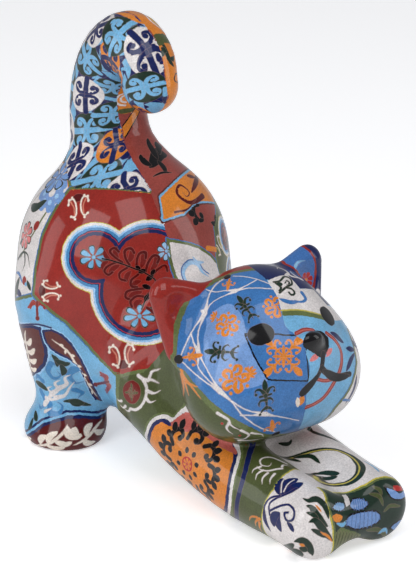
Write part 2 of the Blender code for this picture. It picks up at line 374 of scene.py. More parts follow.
def limbMap(points, line, flip=1):
    # Length along a limb and the angle round it, nil on its upper or outer side.
    rows = smoothLine(np.array(line, float) * (flip, 1, 1, 1), 12 * (len(line) - 1) + 1)[:, :3]
    length = np.concatenate([[0], np.cumsum(lengths(np.diff(rows, axis=0)))])
    best = np.full(len(points), np.inf)
    along = np.zeros(len(points))
    angle = np.zeros(len(points))
    for k, (start, end) in enumerate(zip(rows[:-1], rows[1:])):
        heading = end - start
        share = (points - start) @ heading / (heading @ heading)
        share = np.clip(share, -np.inf if k == 0 else 0, np.inf if k == len(rows) - 2 else 1)
        offset = points - start - share[:, None] * heading
        gap = lengths(offset)
        top = unit(np.cross(heading, (1, 0, 0)))
        side = np.cross(top, unit(heading))
        nearer = gap < best
        best[nearer] = gap[nearer]
        along[nearer] = (length[k] + share * (length[k + 1] - length[k]))[nearer]
        angle[nearer] = np.arctan2(offset @ side, offset @ top)[nearer]
    return along, angle


def outlineGap(place, outline):
    # Distance to a closed outline, below nil inside it by counting crossings.
    nearest = np.full(len(place), np.inf)
    inside = np.zeros(len(place), bool)
    for start, end in zip(outline, np.roll(outline, -1, axis=0)):
        along = end - start
        nearest = np.minimum(nearest, segmentGap(place, start, along)[0])
        turn = (place - start)[:, 0] * along[1] - (place - start)[:, 1] * along[0]
        crossed = (start[1] > place[:, 1]) != (end[1] > place[:, 1])
        inside ^= crossed & ((turn < 0) == (along[1] > 0))
    return np.where(inside, -nearest, nearest)


def linear(colour):
    # From the familiar 0-255 scale to light.
    share = np.asarray(colour, float) / 255
    return np.where(share < 0.04045, share / 12.92, ((share + 0.055) / 1.055) ** 2.4)


class Drawing:
    # What each face of the skin carries: a ground colour, two borders with the colour beyond each,
    # and a few pen strokes.  Borders and strokes are held as exact distances at the face's corners.

    slots = 4
    far = 99.0
    noPen = (0.0, -9.0, 0.0)

    def __init__(self, faces):
        # White all over, with no border near and no stroke.
        self.faces = faces
        count = len(faces)
        self.ground = np.tile(linear(inks["white"]), (count, 1))
        self.area = np.zeros(count, int)
        self.areas = ["ground"]
        self.border = np.full((2, count, 3), self.far)
        self.inside = np.zeros((2, count, 3))
        self.style = np.zeros((2, count), int)
        self.track = np.zeros((self.slots, count, 3, 3))
        self.pen = np.tile(self.noPen, (self.slots, count, 1))
        self.ink = np.zeros((self.slots, count, 3))
        self.room = np.full((self.slots, count), self.far)

    def fill(self, gap, colour, style="none", name="area"):
        # Paints where the gap is below nil; the style's bands lie along the border.
        bands = styles[style]
        inner = max([0.0] + [-low for low, high, ink in bands])
        outer = max([0.0] + [high for low, high, ink in bands])
        corner = gap[self.faces]
        low, high = corner.min(axis=1), corner.max(axis=1)
        touched = low < outer
        hidden = touched & (high < 0)
        self.ground[hidden] = linear(inks[colour])
        self.border[:, hidden] = self.far
        self.style[:, hidden] = 0
        edge = touched & (high > -inner)
        first = edge & (self.style[0] == 0) & (self.border[0].min(axis=1) > 0)
        for slot, chosen in ((0, first), (1, edge & ~first)):
            self.border[slot][chosen] = corner[chosen]
            self.inside[slot][chosen] = linear(inks[colour])
            self.style[slot][chosen] = list(styles).index(style)
        self.areas.append(name)
        self.area[corner.mean(axis=1) < 0] = len(self.areas) - 1

    def stroke(self, place, known, path, width, ends, ink, within=None):
        # A pen line: length along the path and signed distance from it, its ends drawn out straight.
        path = np.asarray(path, float)
        half = width / 2
        margin = half + 2.2 * cat["grain"]
        near = known & (place > path.min(axis=0) - margin).all(axis=1)
        near &= (place < path.max(axis=0) + margin).all(axis=1)
        chosen = np.flatnonzero(near)
        here = place[chosen]
        best = np.full(len(chosen), np.inf)
        along = np.zeros(len(chosen))
        beside = np.zeros(len(chosen))
        if len(path) == 1:
            along, beside = (here - path[0]).T
            span = 0.0
        else:
            steps = np.diff(path, axis=0)
            sizes = lengths(steps)
            span = sizes.sum()
            for k, (start, step, size) in enumerate(zip(path, steps, sizes)):
                heading = step / size
                reach = (here - start) @ heading
                foot = np.clip(reach, 0, size)
                gap = lengths(here - start - foot[:, None] * heading)
                low = -np.inf if k == 0 else 0
                high = np.inf if k == len(steps) - 1 else size
                nearer = gap < best
                best[nearer] = gap[nearer]
                along[nearer] = (sizes[:k].sum() + np.clip(reach, low, high))[nearer]
                cross = heading[0] * (here[:, 1] - start[1]) - heading[1] * (here[:, 0] - start[0])
                outer = (reach < 0) & (k == 0) | (reach > size) & (k == len(steps) - 1)
                beside[nearer] = np.where(outer, cross, np.sign(cross) * gap)[nearer]
        self.lay(near, chosen, along, beside, span, half, ends, ink, within)

    def lay(self, near, chosen, along, beside, span, half, ends, ink, within):
        # Gives the stroke the next slot in each face that it shows in.  Its width at a share s of the
        # length is (1 - s) ^ tip * s ^ root, with one as the most; a full face drops its faintest stroke.
        place = np.zeros((len(near), 2))
        place[chosen] = np.column_stack((along, beside))
        faces = np.flatnonzero(near[self.faces].all(axis=1))
        if within is not None:
            allowed = [k for k, name in enumerate(self.areas) if name in within]
            faces = faces[np.isin(self.area[faces], allowed)]
        corner = place[self.faces[faces]]
        if span:
            steady = np.ptp(corner[:, :, 0], axis=1) < 3 * cat["grain"]
            faces, corner = faces[steady], corner[steady]
        tip, root = ends
        peak = 1.0
        if tip + root > 0:
            top = root / (tip + root)
            peak = (1 - top) ** tip * top**root
        probe = np.concatenate([corner, corner.mean(axis=1, keepdims=True)], axis=1)
        share = np.clip(probe[:, :, 0] / max(span, 1e-6), 0, 1)
        width = half / peak * (1 - share) ** tip * share**root
        beyond = probe[:, :, 0] - np.clip(probe[:, :, 0], 0, span)
        gaps = np.hypot(beyond, probe[:, :, 1]) - width
        gap = gaps.min(axis=1)
        crossed = (corner[:, :, 1].min(axis=1) < 0) & (corner[:, :, 1].max(axis=1) > 0)
        crossed &= (corner[:, :, 0].max(axis=1) > 0) & (corner[:, :, 0].min(axis=1) < max(span, 0.3))
        whole = gaps.max(axis=1) < -0.3
        self.cover(faces[whole], ink)
        shown = ((gap < 0.35) | crossed) & ~whole
        faces, corner, gap = faces[shown], corner[shown], gap[shown]
        used = (self.room[:, faces] < self.far).sum(axis=0)
        full = faces[used == self.slots]
        drop = self.room[:, full].argmax(axis=0)
        for k in range(self.slots - 1):
            moved = full[k >= drop]
            for layer in (self.room, self.track, self.pen, self.ink):
                layer[k, moved] = layer[k + 1, moved]
        slot = np.minimum(used, self.slots - 1)
        self.room[slot, faces] = gap
        self.track[slot, faces, :, :2] = corner
        self.track[slot, faces, :, 2] = root
        self.pen[slot, faces] = (span, half / peak, tip)
        self.ink[slot, faces] = linear(inks[ink])

    def cover(self, faces, ink):
        # A face that lies wholly under a stroke takes its ink as ground.
        self.ground[faces] = linear(inks[ink])
        self.border[:, faces] = self.far
        self.style[:, faces] = 0
        self.room[:, faces] = self.far
        self.pen[:, faces] = self.noPen


inks = {
    "white": (216, 210, 208), "red": (143, 38, 30), "darkRed": (84, 12, 12), "dullRed": (146, 66, 58),
    "crimson": (176, 44, 40), "brown": (92, 42, 38), "rust": (112, 26, 22), "blue": (58, 112, 172),
    "violet": (112, 148, 200), "sky": (112, 170, 208), "paleBlue": (150, 190, 225), "navy": (18, 30, 82),
    "olive": (94, 106, 62), "moss": (74, 82, 46), "yellow": (190, 178, 70), "orange": (212, 126, 42),
    "green": (26, 46, 34), "black": (7, 5, 8), "pink": (214, 120, 120), "cream": (226, 214, 200),
    "rose": (200, 120, 96), "dullPink": (186, 92, 84), "earBlue": (62, 108, 170),
    "deepSky": (66, 128, 178), "paleViolet": (110, 146, 200),
}

# Bands along the border of an area: from, to (millimetres outward) and ink.
styles = {
    "none": (),
    "panel": ((-0.7, 0.7, "olive"), (0.7, 1.2, "blue")),
    "olive": ((-0.7, 0.7, "olive"),),
    "tiles": ((-1.0, 0.5, "olive"), (0.5, 1.0, "orange")),
    "cartouche": (
        (-5.3, -3.8, "navy"), (-3.8, -3.5, "crimson"), (-3.5, -3.1, "navy"), (-3.1, -1.9, "deepSky"),
        (-1.9, -1.1, "paleBlue"), (-1.1, 0, "white"), (0, 0.3, "yellow"),
    ),
    "disc": ((0, 2.4, "olive"),),
    "navyLine": ((-0.8, 0.8, "navy"), (0.8, 1.6, "paleBlue")),
    "lens": ((-0.5, 0.3, "navy"), (0.3, 0.8, "paleBlue")),
    "doubleLine": ((-1.4, -0.2, "navy"), (-0.2, 0.8, "sky"), (0.8, 1.8, "navy")),
    "leg": ((-1.8, 0, "navy"), (0, 1.6, "white"), (1.6, 2.6, "olive")),
    "thin": ((-0.35, 0.35, "black"),),
    "blueEdge": ((-0.9, 0, "sky"), (0, 0.7, "brown")),
    "softEdge": ((-0.6, 0, "yellow"), (0, 0.5, "olive")),
    "toe": ((-0.9, 0, "olive"), (0, 0.7, "yellow")),
    "ear": ((-0.1, 0.9, "red"),),
    "thigh": ((-0.9, 0.2, "navy"),),
}

# Pen ends: how fast the width falls towards the far end and towards the near end.
pens = {"even": (0, 0), "leaf": (0.7, 0.7), "taper": (0.8, 0), "drop": (0.35, 0.9)}

# Figures of the ornament, in units of their own size: pen, width, ink of the placing, copies and path.
# Copies is the number of turned copies, below nil when each has a twin across the middle.
figures = {
    "fleur": (
        ("leaf", 0.4, 0, 1, (0, 0.05), (0, 1.2)),
        ("taper", 0.24, 0, -1, (0, -0.05), (0.34, 0.46), (0.68, 0.5), (0.78, 0.2)),
        ("even", 0.22, 0, -1, (0.72, 0.22)), ("even", 0.16, 0, 1, (-0.28, -0.02), (0.28, -0.02)),
        ("leaf", 0.24, 0, 1, (0, 0.1), (0, -0.6)),
    ),
    "lily": (
        ("leaf", 0.36, 0, 1, (0, 0.3), (0, 1.25)),
        ("taper", 0.26, 0, -1, (0, 0.2), (0.32, 0.62), (0.62, 0.62), (0.66, 0.36)),
        ("even", 0.18, 0, -1, (0.6, 0.36)), ("even", 0.15, 0, 1, (-0.36, 0.18), (0.36, 0.18)),
        ("taper", 0.24, 0, 1, (0, 0.2), (0.03, -0.4), (0, -1.0)),
        ("taper", 0.2, 0, -1, (0, -0.1), (0.3, -0.06), (0.5, -0.3), (0.36, -0.46)),
        ("taper", 0.24, 0, -1, (0, -0.62), (0.26, -0.74), (0.42, -1.0)),
        ("even", 0.16, 0, -1, (0.42, -0.98)),
    ),
    "lace": (
        ("even", 0.26, 0, 5, (0.1, 0.28), (0.42, 0.4), (0.48, 0.78), (0.16, 0.88), (0.02, 0.58)),
        ("even", 0.26, 0, 1, (0, 0)), ("even", 0.24, 0, 5, (-0.24, 1.0)),
    ),
    "crossed": (
        ("even", 0.09, 0, 4, (0, 0), (0, 0.8)), ("leaf", 0.3, 0, 4, (0, 0.66), (0, 1.3)),
        ("taper", 0.14, 0, -4, (0, 0.56), (0.24, 0.72), (0.36, 0.62), (0.3, 0.48)),
        ("even", 0.12, 0, -4, (0.31, 0.5)), ("leaf", 0.14, 0, 4, (0.03, 0.03), (0.34, 0.34)),
        ("taper", 0.1, 0, -4, (0, 0.34), (0.14, 0.36), (0.2, 0.24)),
    ),
    "spray": (
        ("even", 0.09, 0, 1, (0, -0.2), (0.02, 0.5), (-0.02, 1.6)),
        ("leaf", 0.36, 0, 1, (0, 1.45), (0, 2.2)),
        ("leaf", 0.36, 0, -1, (0, 1.1), (0.3, 1.45), (0.34, 1.95)),
        ("leaf", 0.4, 0, -1, (0, 0.65), (0.42, 0.95), (0.62, 1.45)),
        ("leaf", 0.36, 0, -1, (0, 0.2), (0.5, 0.45), (0.88, 0.85)), ("even", 0.24, 0, -1, (0.98, 1.1)),
    ),
    "petals": (("drop", 0.42, 0, 7, (0, 0.22), (0, 0.98)),),
    "daisy": (
        ("drop", 0.56, 0, 7, (0, 0.2), (0, 1)), ("even", 0.4, 0, 1, (0, 0)),
    ),
    "palmette": (
        ("leaf", 0.4, 0, 1, (0, 0.2), (0, 1.1)), ("leaf", 0.34, 0, -1, (0, 0.15), (0.4, 0.45), (0.5, 0.95)),
        ("leaf", 0.3, 0, -1, (0, 0.1), (0.55, 0.1), (0.9, 0.4)), ("even", 0.12, 1, 1, (0, 0.6), (0, -0.9)),
        ("even", 0.34, 1, 1, (0, -0.95)),
    ),
    "scroll": (
        ("taper", 0.26, 0, 1, (-1.1, -0.4), (-0.3, 0.5), (0.5, 0.55), (0.75, -0.05), (0.3, -0.4),
         (0, -0.08), (0.22, 0.12)),
        ("leaf", 0.28, 0, 1, (-0.5, 0.3), (-0.2, 0.85), (0.2, 1.0)),
        ("leaf", 0.24, 0, 1, (-0.7, 0.05), (-0.95, 0.5), (-0.85, 0.9)),
    ),
    "oval": (
        ("even", 2.0, 0, 1, (0, -0.06), (0, 0.06)), ("even", 0.3, 1, 1, (0, -1.05), (0, 1.05)),
        ("even", 0.2, 1, -1, (0.05, 0.1), (0.34, 0.1), (0.6, 0.28), (0.62, 0.52), (0.42, 0.6),
         (0.35, 0.46)),
        ("even", 0.2, 1, -1, (0.05, -0.1), (0.34, -0.1), (0.6, -0.28), (0.62, -0.52), (0.42, -0.6),
         (0.35, -0.46)),
        ("even", 0.28, 1, -1, (0.38, 0.44)), ("even", 0.28, 1, -1, (0.38, -0.44)),
    ),
    "pinwheel": (
        ("taper", 0.8, 0, 1, (0.05, 0), (1.1, 0.35)), ("taper", 0.8, 0, 1, (-0.05, 0), (-1.1, -0.35)),
        ("taper", 0.8, 1, 1, (0, 0.05), (-0.35, 1.1)), ("taper", 0.8, 1, 1, (0, -0.05), (0.35, -1.1)),
    ),
    "fan": (
        ("even", 0.13, 0, -1, (0.98, 0.46), (0.88, 0.8), (0.5, 0.86), (0.24, 0.3), (0.26, -0.4),
         (0.5, -0.76), (0.76, -0.62)),
        ("even", 0.22, 0, -1, (0.98, 0.44)), ("even", 0.22, 0, -1, (0.92, 0.84)),
        ("even", 0.2, 0, -1, (0.6, 1.0)), ("even", 0.2, 0, -1, (0.46, -0.9)),
        ("even", 0.2, 0, -1, (0.82, -0.62)), ("even", 0.08, 1, -1, (0.74, 0.66), (0.46, 0.1), (0.44, -0.6)),
    ),
    "branch": (
        ("even", 0.4, 0, 1, (-0.9, -0.35), (-0.8, 0.3), (-0.2, 0.6), (0.4, 0.35), (0.44, -0.15),
         (0.08, -0.3)),
        ("even", 0.54, 0, 1, (0.06, -0.24)), ("leaf", 0.62, 0, 1, (0.3, 0.45), (0.85, 1.05)),
        ("leaf", 0.62, 0, 1, (-0.25, 0.5), (-0.12, 1.3)), ("leaf", 0.56, 0, 1, (-0.75, 0.35), (-1.05, 1.0)),
    ),
    "bird": (
        ("leaf", 0.34, 0, -1, (0.02, 0.1), (0.35, 0.5), (0.75, 0.1), (1.0, 0.0)),
        ("leaf", 0.3, 0, -1, (0.1, 0.3), (0.5, 0.35), (0.7, -0.1)),
        ("even", 0.22, 1, 1, (0, 0.5), (0, -0.7)), ("even", 0.38, 1, 1, (0, -0.8)),
    ),
    "spiral": (
        ("taper", 0.5, 0, 1, (2.6, -0.2), (1.2, -0.75), (0, -0.85), (-0.85, 0), (0, 0.8), (0.7, 0.1),
         (0.1, -0.35), (-0.2, 0.1)),
    ),
    "leaves": (
        ("leaf", 0.6, 0, 1, (-1.2, 0), (0, 0.35), (1.2, 0)),
        ("leaf", 0.4, 0, 1, (-0.3, 0.1), (-0.5, 0.7), (-0.2, 1.1)),
        ("leaf", 0.4, 0, 1, (0.3, 0.1), (0.6, -0.5), (0.4, -0.95)),
    ),
}


def placed(path, centre, angle, size):
    # A figure's path turned, sized and moved to its place on a map.
    c, s = cosSin(angle)
    return np.asarray(path, float) @ np.array([[c, s], [-s, c]]) * np.asarray(size) + centre


# Middles of the sheets that the ornament is laid out on, and the ways they face.
headMiddle = (0, -53, 65)
bodyMiddle = (0, 38, 72)
rumpMiddle = (0, 45, 77)
faceFront = (0, -0.93, 0.3)
rightQuarter = (-0.539, -0.77, 0.34)
flankOut = (-0.82, -0.55, 0.15)
rearOut = (-0.75, 0.5, 0.3)


def arcLine(centre, radius, start, end, count):
    # Points along an arc, between two angles in degrees.
    turn = np.radians(np.linspace(start, end, count))
    return np.column_stack((np.cos(turn), np.sin(turn))) * radius + centre


class Ornament:
    # Places areas, lines and figures on named maps of the skin.  A map is a pair: the place of each
    # vertex on a sheet, and whether the sheet reaches it.  A gap is a distance, below nil inside.

    def __init__(self, points, faces):
        # Works out the gaps and the maps once for the whole skin.
        self.drawing = Drawing(faces)
        self.points = points
        head = headDistance(points)
        body = bodyDistance(points)
        onHead = head < body + 3
        onBody = body < head + 3
        x, y, z = points.T
        # The root of the tail is measured along its own four stations, so the bend doesn't pull it in.
        tail, tailTurn = limbMap(points, cat["tail"])
        root, rootTurn = limbMap(points, cat["tail"][:4])
        tail, tailTurn = np.where(z < 143, root, tail), np.where(z < 143, rootTurn, tailTurn)
        tailSize = np.interp(tail, (0, 18, 33, 46, 58, 71, 83, 93), [row[3] for row in cat["tail"]])
        around = tailTurn * tailSize
        seam = np.interp(tail, (50, 62, 76, 92), (-4.7, -3.4, -0.6, 0.4)) + 0.35 * np.sin(z / 3)
        skull = skullDistance(points)
        lift = np.interp(-x, (-10, 12, 25, 31, 35), (3.2, 0.4, 3.8, 7.2, 8.2))
        lift *= np.interp(z, (72, 82), (0.6, 1))
        quarter = flatMap(points, headMiddle, rightQuarter)
        rim = ((-13, 60), (-13, 31), (-19, 28), (-23.7, 25.3), (-27, 23.3), (-29.3, 20.9), (-31.3, 16.6),
               (-33, 12), (-34, 6.8), (-34.6, 0), (-34.6, -40), (60, -60), (60, 60))
        self.gaps = {
            "head": head - body,
            "body": body - head,
            "right": x - 1.5,
            "left": seam - x,
            "rightHalf": x - seam,
            "earLift": np.where((y > -60) & (z > 70), np.where(y > -36, 0.4, lift) - skull, 99),
            "rim": outlineGap(quarter, np.array(rim, float)),
        }
        onTail = (z > 92) & (y > 16)
        low = (y > 12) & (z < 75)
        front = (y < 22) & (z < 62) & onBody
        mirrored = points * (-1, 1, 1)
        self.tailLength = tail
        self.maps = {
            "face": (roundMap(points, headMiddle, (-0.46, -0.85, 0.25), 35), onHead),
            "front": (roundMap(points, headMiddle, faceFront, 32), onHead),
            "quarter": (quarter, onHead & ((points - headMiddle) @ rightQuarter > -4)),
            "crown": (roundMap(points, headMiddle, (0, 0.5, 0.8), 34), onHead),
            "side": (
                flatMap(points, bodyMiddle, rightQuarter),
                onBody & (x < 3) & ((points - bodyMiddle) @ rightQuarter > 0),
            ),
            "toes": (flatMap(points, (0, -112, 15), (-0.3, -0.8, 0.5)), front & (y < -96)),
            "flank": (roundMap(points, bodyMiddle, flankOut, 48), onBody & (x < 3)),
            "farFlank": (roundMap(mirrored, bodyMiddle, flankOut, 48), onBody & (x > -3)),
            "rear": (roundMap(points, rumpMiddle, rearOut, 46), (x < 3) & (y > 20)),
            "farRear": (roundMap(mirrored, rumpMiddle, rearOut, 46), (x > -3) & (y > 20)),
            "back": (roundMap(points, bodyMiddle, (0.25, -0.75, 0.6), 48), onBody),
            "tail": (np.column_stack((around, tail)), onTail),
            # The hook of the tail, drawn out so that its tiles stay as wide as the others.
            "hook": (np.column_stack((around, 77 + 1.5 * (tail - 77))), onTail & (tail > 55)),
            "ear": (np.column_stack((x - 25, z - 84)), (skull > 0.5) & (z > 70) & (x > 10)),
        }
        for name, flip in (("rightFore", -1), ("leftFore", 1)):
            along, turn = limbMap(points, cat["foreleg"], flip)
            self.maps[name] = (np.column_stack((along, turn * 16)), front & (x * flip > -4))
        for name, place in (("rightHind", points), ("leftHind", mirrored)):
            turn = -np.arctan2(place[:, 1] - 50, -(place[:, 0] + 32)) * 15
            self.maps[name] = (np.column_stack((turn, place[:, 2])), low & (place[:, 0] < 3))

    def area(self, name, mapName, outline, colour, style="none", within=(), smooth=0):
        # An area inside an outline on a map, cut down to named parts of the skin.
        place, known = self.maps[mapName]
        path = np.asarray(outline, float)
        if smooth:
            path = smoothLine(list(outline) + [outline[0]], smooth * len(outline))[:-1]
        gap = np.full(len(place), 99.0)
        near = known & ((place > path.min(axis=0) - 6) & (place < path.max(axis=0) + 6)).all(axis=1)
        gap[near] = outlineGap(place[near], path)
        self.region(name, gap, colour, style, within)

    def region(self, name, gap, colour, style="none", within=()):
        # The body and the right half only hide an area, so no border runs along their own edges.
        for part in within:
            beyond = self.gaps[part]
            gap = np.where(beyond > 2.5, 99.0, gap) if part in ("body", "right") else np.maximum(gap, beyond)
        self.gaps[name] = gap
        self.drawing.fill(gap, colour, style, name)

    def line(self, mapName, pen, width, ink, path, within=None):
        # One pen line, curved through its points when it has more than two.
        place, known = self.maps[mapName]
        path = np.asarray(path, float)
        if len(path) > 2:
            path = smoothLine(path, 6 * len(path))
        self.drawing.stroke(place, known, path, width, pens[pen], ink, within)

    def strokes(self, mapName, ink, pen, within, rows):
        # Lines of one ink and pen; each row is a width and then the path.
        for width, *path in rows:
            self.line(mapName, pen, width, ink, path, within)

    def lines(self, mapName, within, rows):
        # Lines on one map; each row is a pen, a width, an ink and then the path.
        for pen, width, ink, *path in rows:
            self.line(mapName, pen, width, ink, path, within)

    def figure(self, name, mapName, centre, angle, size, colours, within=None):
        # Each path of the figure, twinned and turned; a pair of sizes draws it out one way.
        for pen, width, ink, copies, *path in figures[name]:
            path = np.asarray(path, float)
            for twin in (1, -1) if copies < 0 else (1,):
                for k in range(abs(copies)):
                    here = placed(path * (twin, 1), centre, angle + 360 * k / abs(copies), size)
                    self.line(mapName, pen, width * np.min(size), colours[ink], here, within)


def lobeGap(sheet, lobes):
    # Distance to overlapping circles, each given by its middle and radius.
    place, known = sheet
    gaps = [lengths(place - lobe[:2]) - lobe[2] for lobe in lobes]
    return np.where(known, np.min(gaps, axis=0), 99)


def paintAreas(art):
    # Broad areas first: later ones cover earlier ones, and the left half covers the seam.
    paintFlank(art)
    paintBack(art)
    paintFarFlank(art)
    for side in ("right", "left"):
        paintHind(art, side)
    paintTail(art)
    paintForelegs(art)
    paintToe(art)
    paintHead(art)


def paintFlank(art):
    # Tiles up the tail, the red panel and its cartouche, the sky band below it and the shoulder.
    near = ("right", "body")
    tileTop = ((-75, 140), (-75, 66), (-35, 54), (-25, 43), (16, 52.5), (45, 60), (60, 140))
    art.area("tiles", "flank", tileTop, "sky", "tiles", ("right",))
    hem = ((-35, -7.5), (-27, -12), (-18, -18), (-10, -27), (-5, -32), (0, -34), (10, -31))
    top = ((-36, 5), (-33.5, 20), (-29, 33), (-25, 43), (16, 52.5), (40, 58), (70, 40), (70, -8), (28, -20))
    panel = hem[::-1] + top + ((20, -26),)
    band = ((-70, -22), (-48, -13)) + hem + ((9, -46), (8, -80), (-70, -80))
    art.area("band", "flank", band, "sky", "panel", near)
    art.area("panel", "flank", panel, "red", "panel", near)
    lobes = ((-16.7, 6.5, 14.5), (6, 2.3, 19.8), (2.5, -8.2, 21.5))
    art.region("cartouche", lobeGap(art.maps["side"], lobes), "red", "cartouche", near + ("panel",))
    chest = ((9, -31), (20, -26), (28, -20), (60, -2), (80, -60), (60, -90), (8, -90), (9, -46))
    art.area("shoulder", "flank", chest, "moss", "olive", near)
    # The low end of the band and the corner of the shoulder run on between the legs.
    low = ((-32, -21.2), (-20.2, -33), (-8.4, -43), (-7.8, -52), (-6, -66), (-14.2, -62), (-18, -49.7),
           (-21.1, -42.2), (-24.2, -35.2), (-27.9, -29.1), (-32.1, -25.2))
    art.area("band", "side", low, "sky", "none", near)
    corner = ((-7.4, -43), (-1.8, -41.4), (5.7, -39.8), (16, -37), (16, -70), (-3, -74), (-7, -60),
              (-7.8, -50))
    art.area("shoulder", "side", corner, "moss", "olive", near)


def paintForelegs(art):
    # Right: olive with an orange panel and a white paw.  Left: white.
    body = ("body",)
    art.area("foreOlive", "rightFore", ((2, -60), (4, 60), (130, 60), (130, -60)), "moss", "none", body)
    cart = ((21, -27), (21, -20), (24, -15.5), (29, -14), (32, -9), (40, -6), (55, -4), (66, -5), (72, -14),
            (74, -24), (72, -33), (66, -40), (50, -46), (34, -46), (26, -42), (21, -33))
    art.area("orangePanel", "rightFore", cart, "orange", "leg", body, 5)
    blush = ((26, -12), (30, -15.5), (36, -14.5), (42, -10.8), (48, -8.6), (56, -8), (66, -6), (66, 6),
             (26, 6))
    art.area("blush", "rightFore", blush, "dullPink", "none", ("body", "orangePanel"))
    edge = ((67, 2), (76.4, -9), (79.4, -20), (77, -34), (70, -46))
    art.line("rightFore", "even", 2.4, "navy", edge, ("foreOlive",))
    paw = ((94.5, -70), (94, -30), (94.5, -10), (91.5, 2), (89, 8), (90, 70), (140, 70), (140, -70))
    art.area("rightPaw", "rightFore", paw, "white", "softEdge", body)
    art.area("leftFore", "leftFore", ((0, -80), (0, 80), (140, 80), (140, -80)), "white", "none", body)


def paintToe(art):
    # The left toe's green, over the hollow between the paws, with feathers and petals on it.
    x, y, z = art.points.T
    inner = np.interp(z, (5, 12, 16, 22, 25, 27), (-10, -10.6, -11.1, -12.4, -12, -9.7)) - x
    upper = y - np.interp(x, (-10, -5, 0, 10, 25), (-102, -106, -104.6, -108.4, -109))
    art.region("leftToe", np.maximum(inner, upper), "green", "toe", ("body",))
    toe = ("leftToe",)
    feathers = (
        ((-1.7, 3.5), (0, 6.5), (3.7, 7.1), (6.8, 5.1), (5.8, 3.3), (1.9, 2.3)),
        ((-4.4, -2.3), (-2, 0.7), (2.6, 1.6), (9.6, 1.7), (12.4, -0.3), (11.3, -2.7), (6.6, -4.3),
         (0.2, -4.5)),
        ((-9.7, 4.4), (-6.5, 6.2), (-3.5, 5.3), (-4.4, 3.1), (-8, 3)),
        ((14.9, 10.6), (16.7, 6.9), (19.9, 5.1), (25.4, 6), (26, 9), (21.8, 7.9), (18.6, 9.4)),
        ((17.2, -5.3), (19.5, -3.6), (23.8, -2.1), (24.5, -4), (21, -6.6)),
    )
    for k, outline in enumerate(feathers):
        art.area(f"feather{k}", "toes", outline, "paleViolet", "thin", toe, 3)
    for ink, smooth, outline in (
        ("orange", 3, ((-10.1, 0.9), (-8.1, 1.7), (-5.4, 0.9), (-5.9, -0.9), (-8.6, -1.4))),
        ("white", 0, ((-2.8, 9.2), (-0.6, 9.1), (-0.9, 5.1), (-3.1, 4), (-3, 6.7))),
        ("crimson", 0, ((18.9, 10.7), (24, 10.6), (24.1, 8.6), (21, 8.3), (19, 9))),
        ("olive", 0,
         ((-8.9, -5.6), (-8.5, -11), (-2, -12), (3, -9.6), (3.8, -6.5), (-1.3, -5), (-5.9, -3.4))),
    ):
        art.area(ink + "Toe", "toes", outline, ink, "none", toe, smooth)
    petal = ((108.5, 26), (112, 22), (115, 27), (113, 36), (109, 34))
    art.area("toeSide", "leftFore", petal, "paleViolet", "thin", toe, 3)


def paintBack(art):
    # Left of the seam: dull red, an orange strip and a white field.
    art.region("leftSide", art.gaps["left"], "dullRed", "none", ("body",))
    strip = ((-40, 16.5), (-14, 16), (-9, 24.5), (30, 32), (60, 36), (60, 8), (10, 14), (-2, 11.5))
    art.area("backStrip", "back", strip, "orange", "blueEdge", ("left", "body"))
    lower = ((-40, 30), (-17, 4), (0, -6), (10, -14), (20, -25), (22, -34), (-60, -34), (-60, 10))
    art.area("backWhite", "back", lower, "white", "panel", ("left", "body"))


def paintFarFlank(art):
    # The far flank answers the near one in other colours.
    panel = ((-31, 30), (-10, 27), (8, 22), (16, 8), (17, -10), (8, -30), (-4, -32), (-16, -19), (-33, -9),
             (-36, 8))
    band = ((-70, -20), (-33, -9), (-16, -19), (-4, -32), (9, -31), (14, -80), (-70, -80))
    far = ("left", "body")
    art.area("farBand", "farFlank", band, "sky", "panel", far)
    art.area("farPanel", "farFlank", panel, "moss", "panel", far)
    lobes = ((-20, 14, 9), (-20, -2, 9), (-3, 12, 10), (-3, -9, 11))
    gap = lobeGap(art.maps["farFlank"], lobes)
    art.region("farCartouche", gap, "dullRed", "cartouche", far + ("farPanel",))
    rear = ((-75, 60), (-31, 30), (-36, 8), (-33, -9), (-75, -22))
    art.area("farRearPanel", "farFlank", rear, "white", "panel", far)


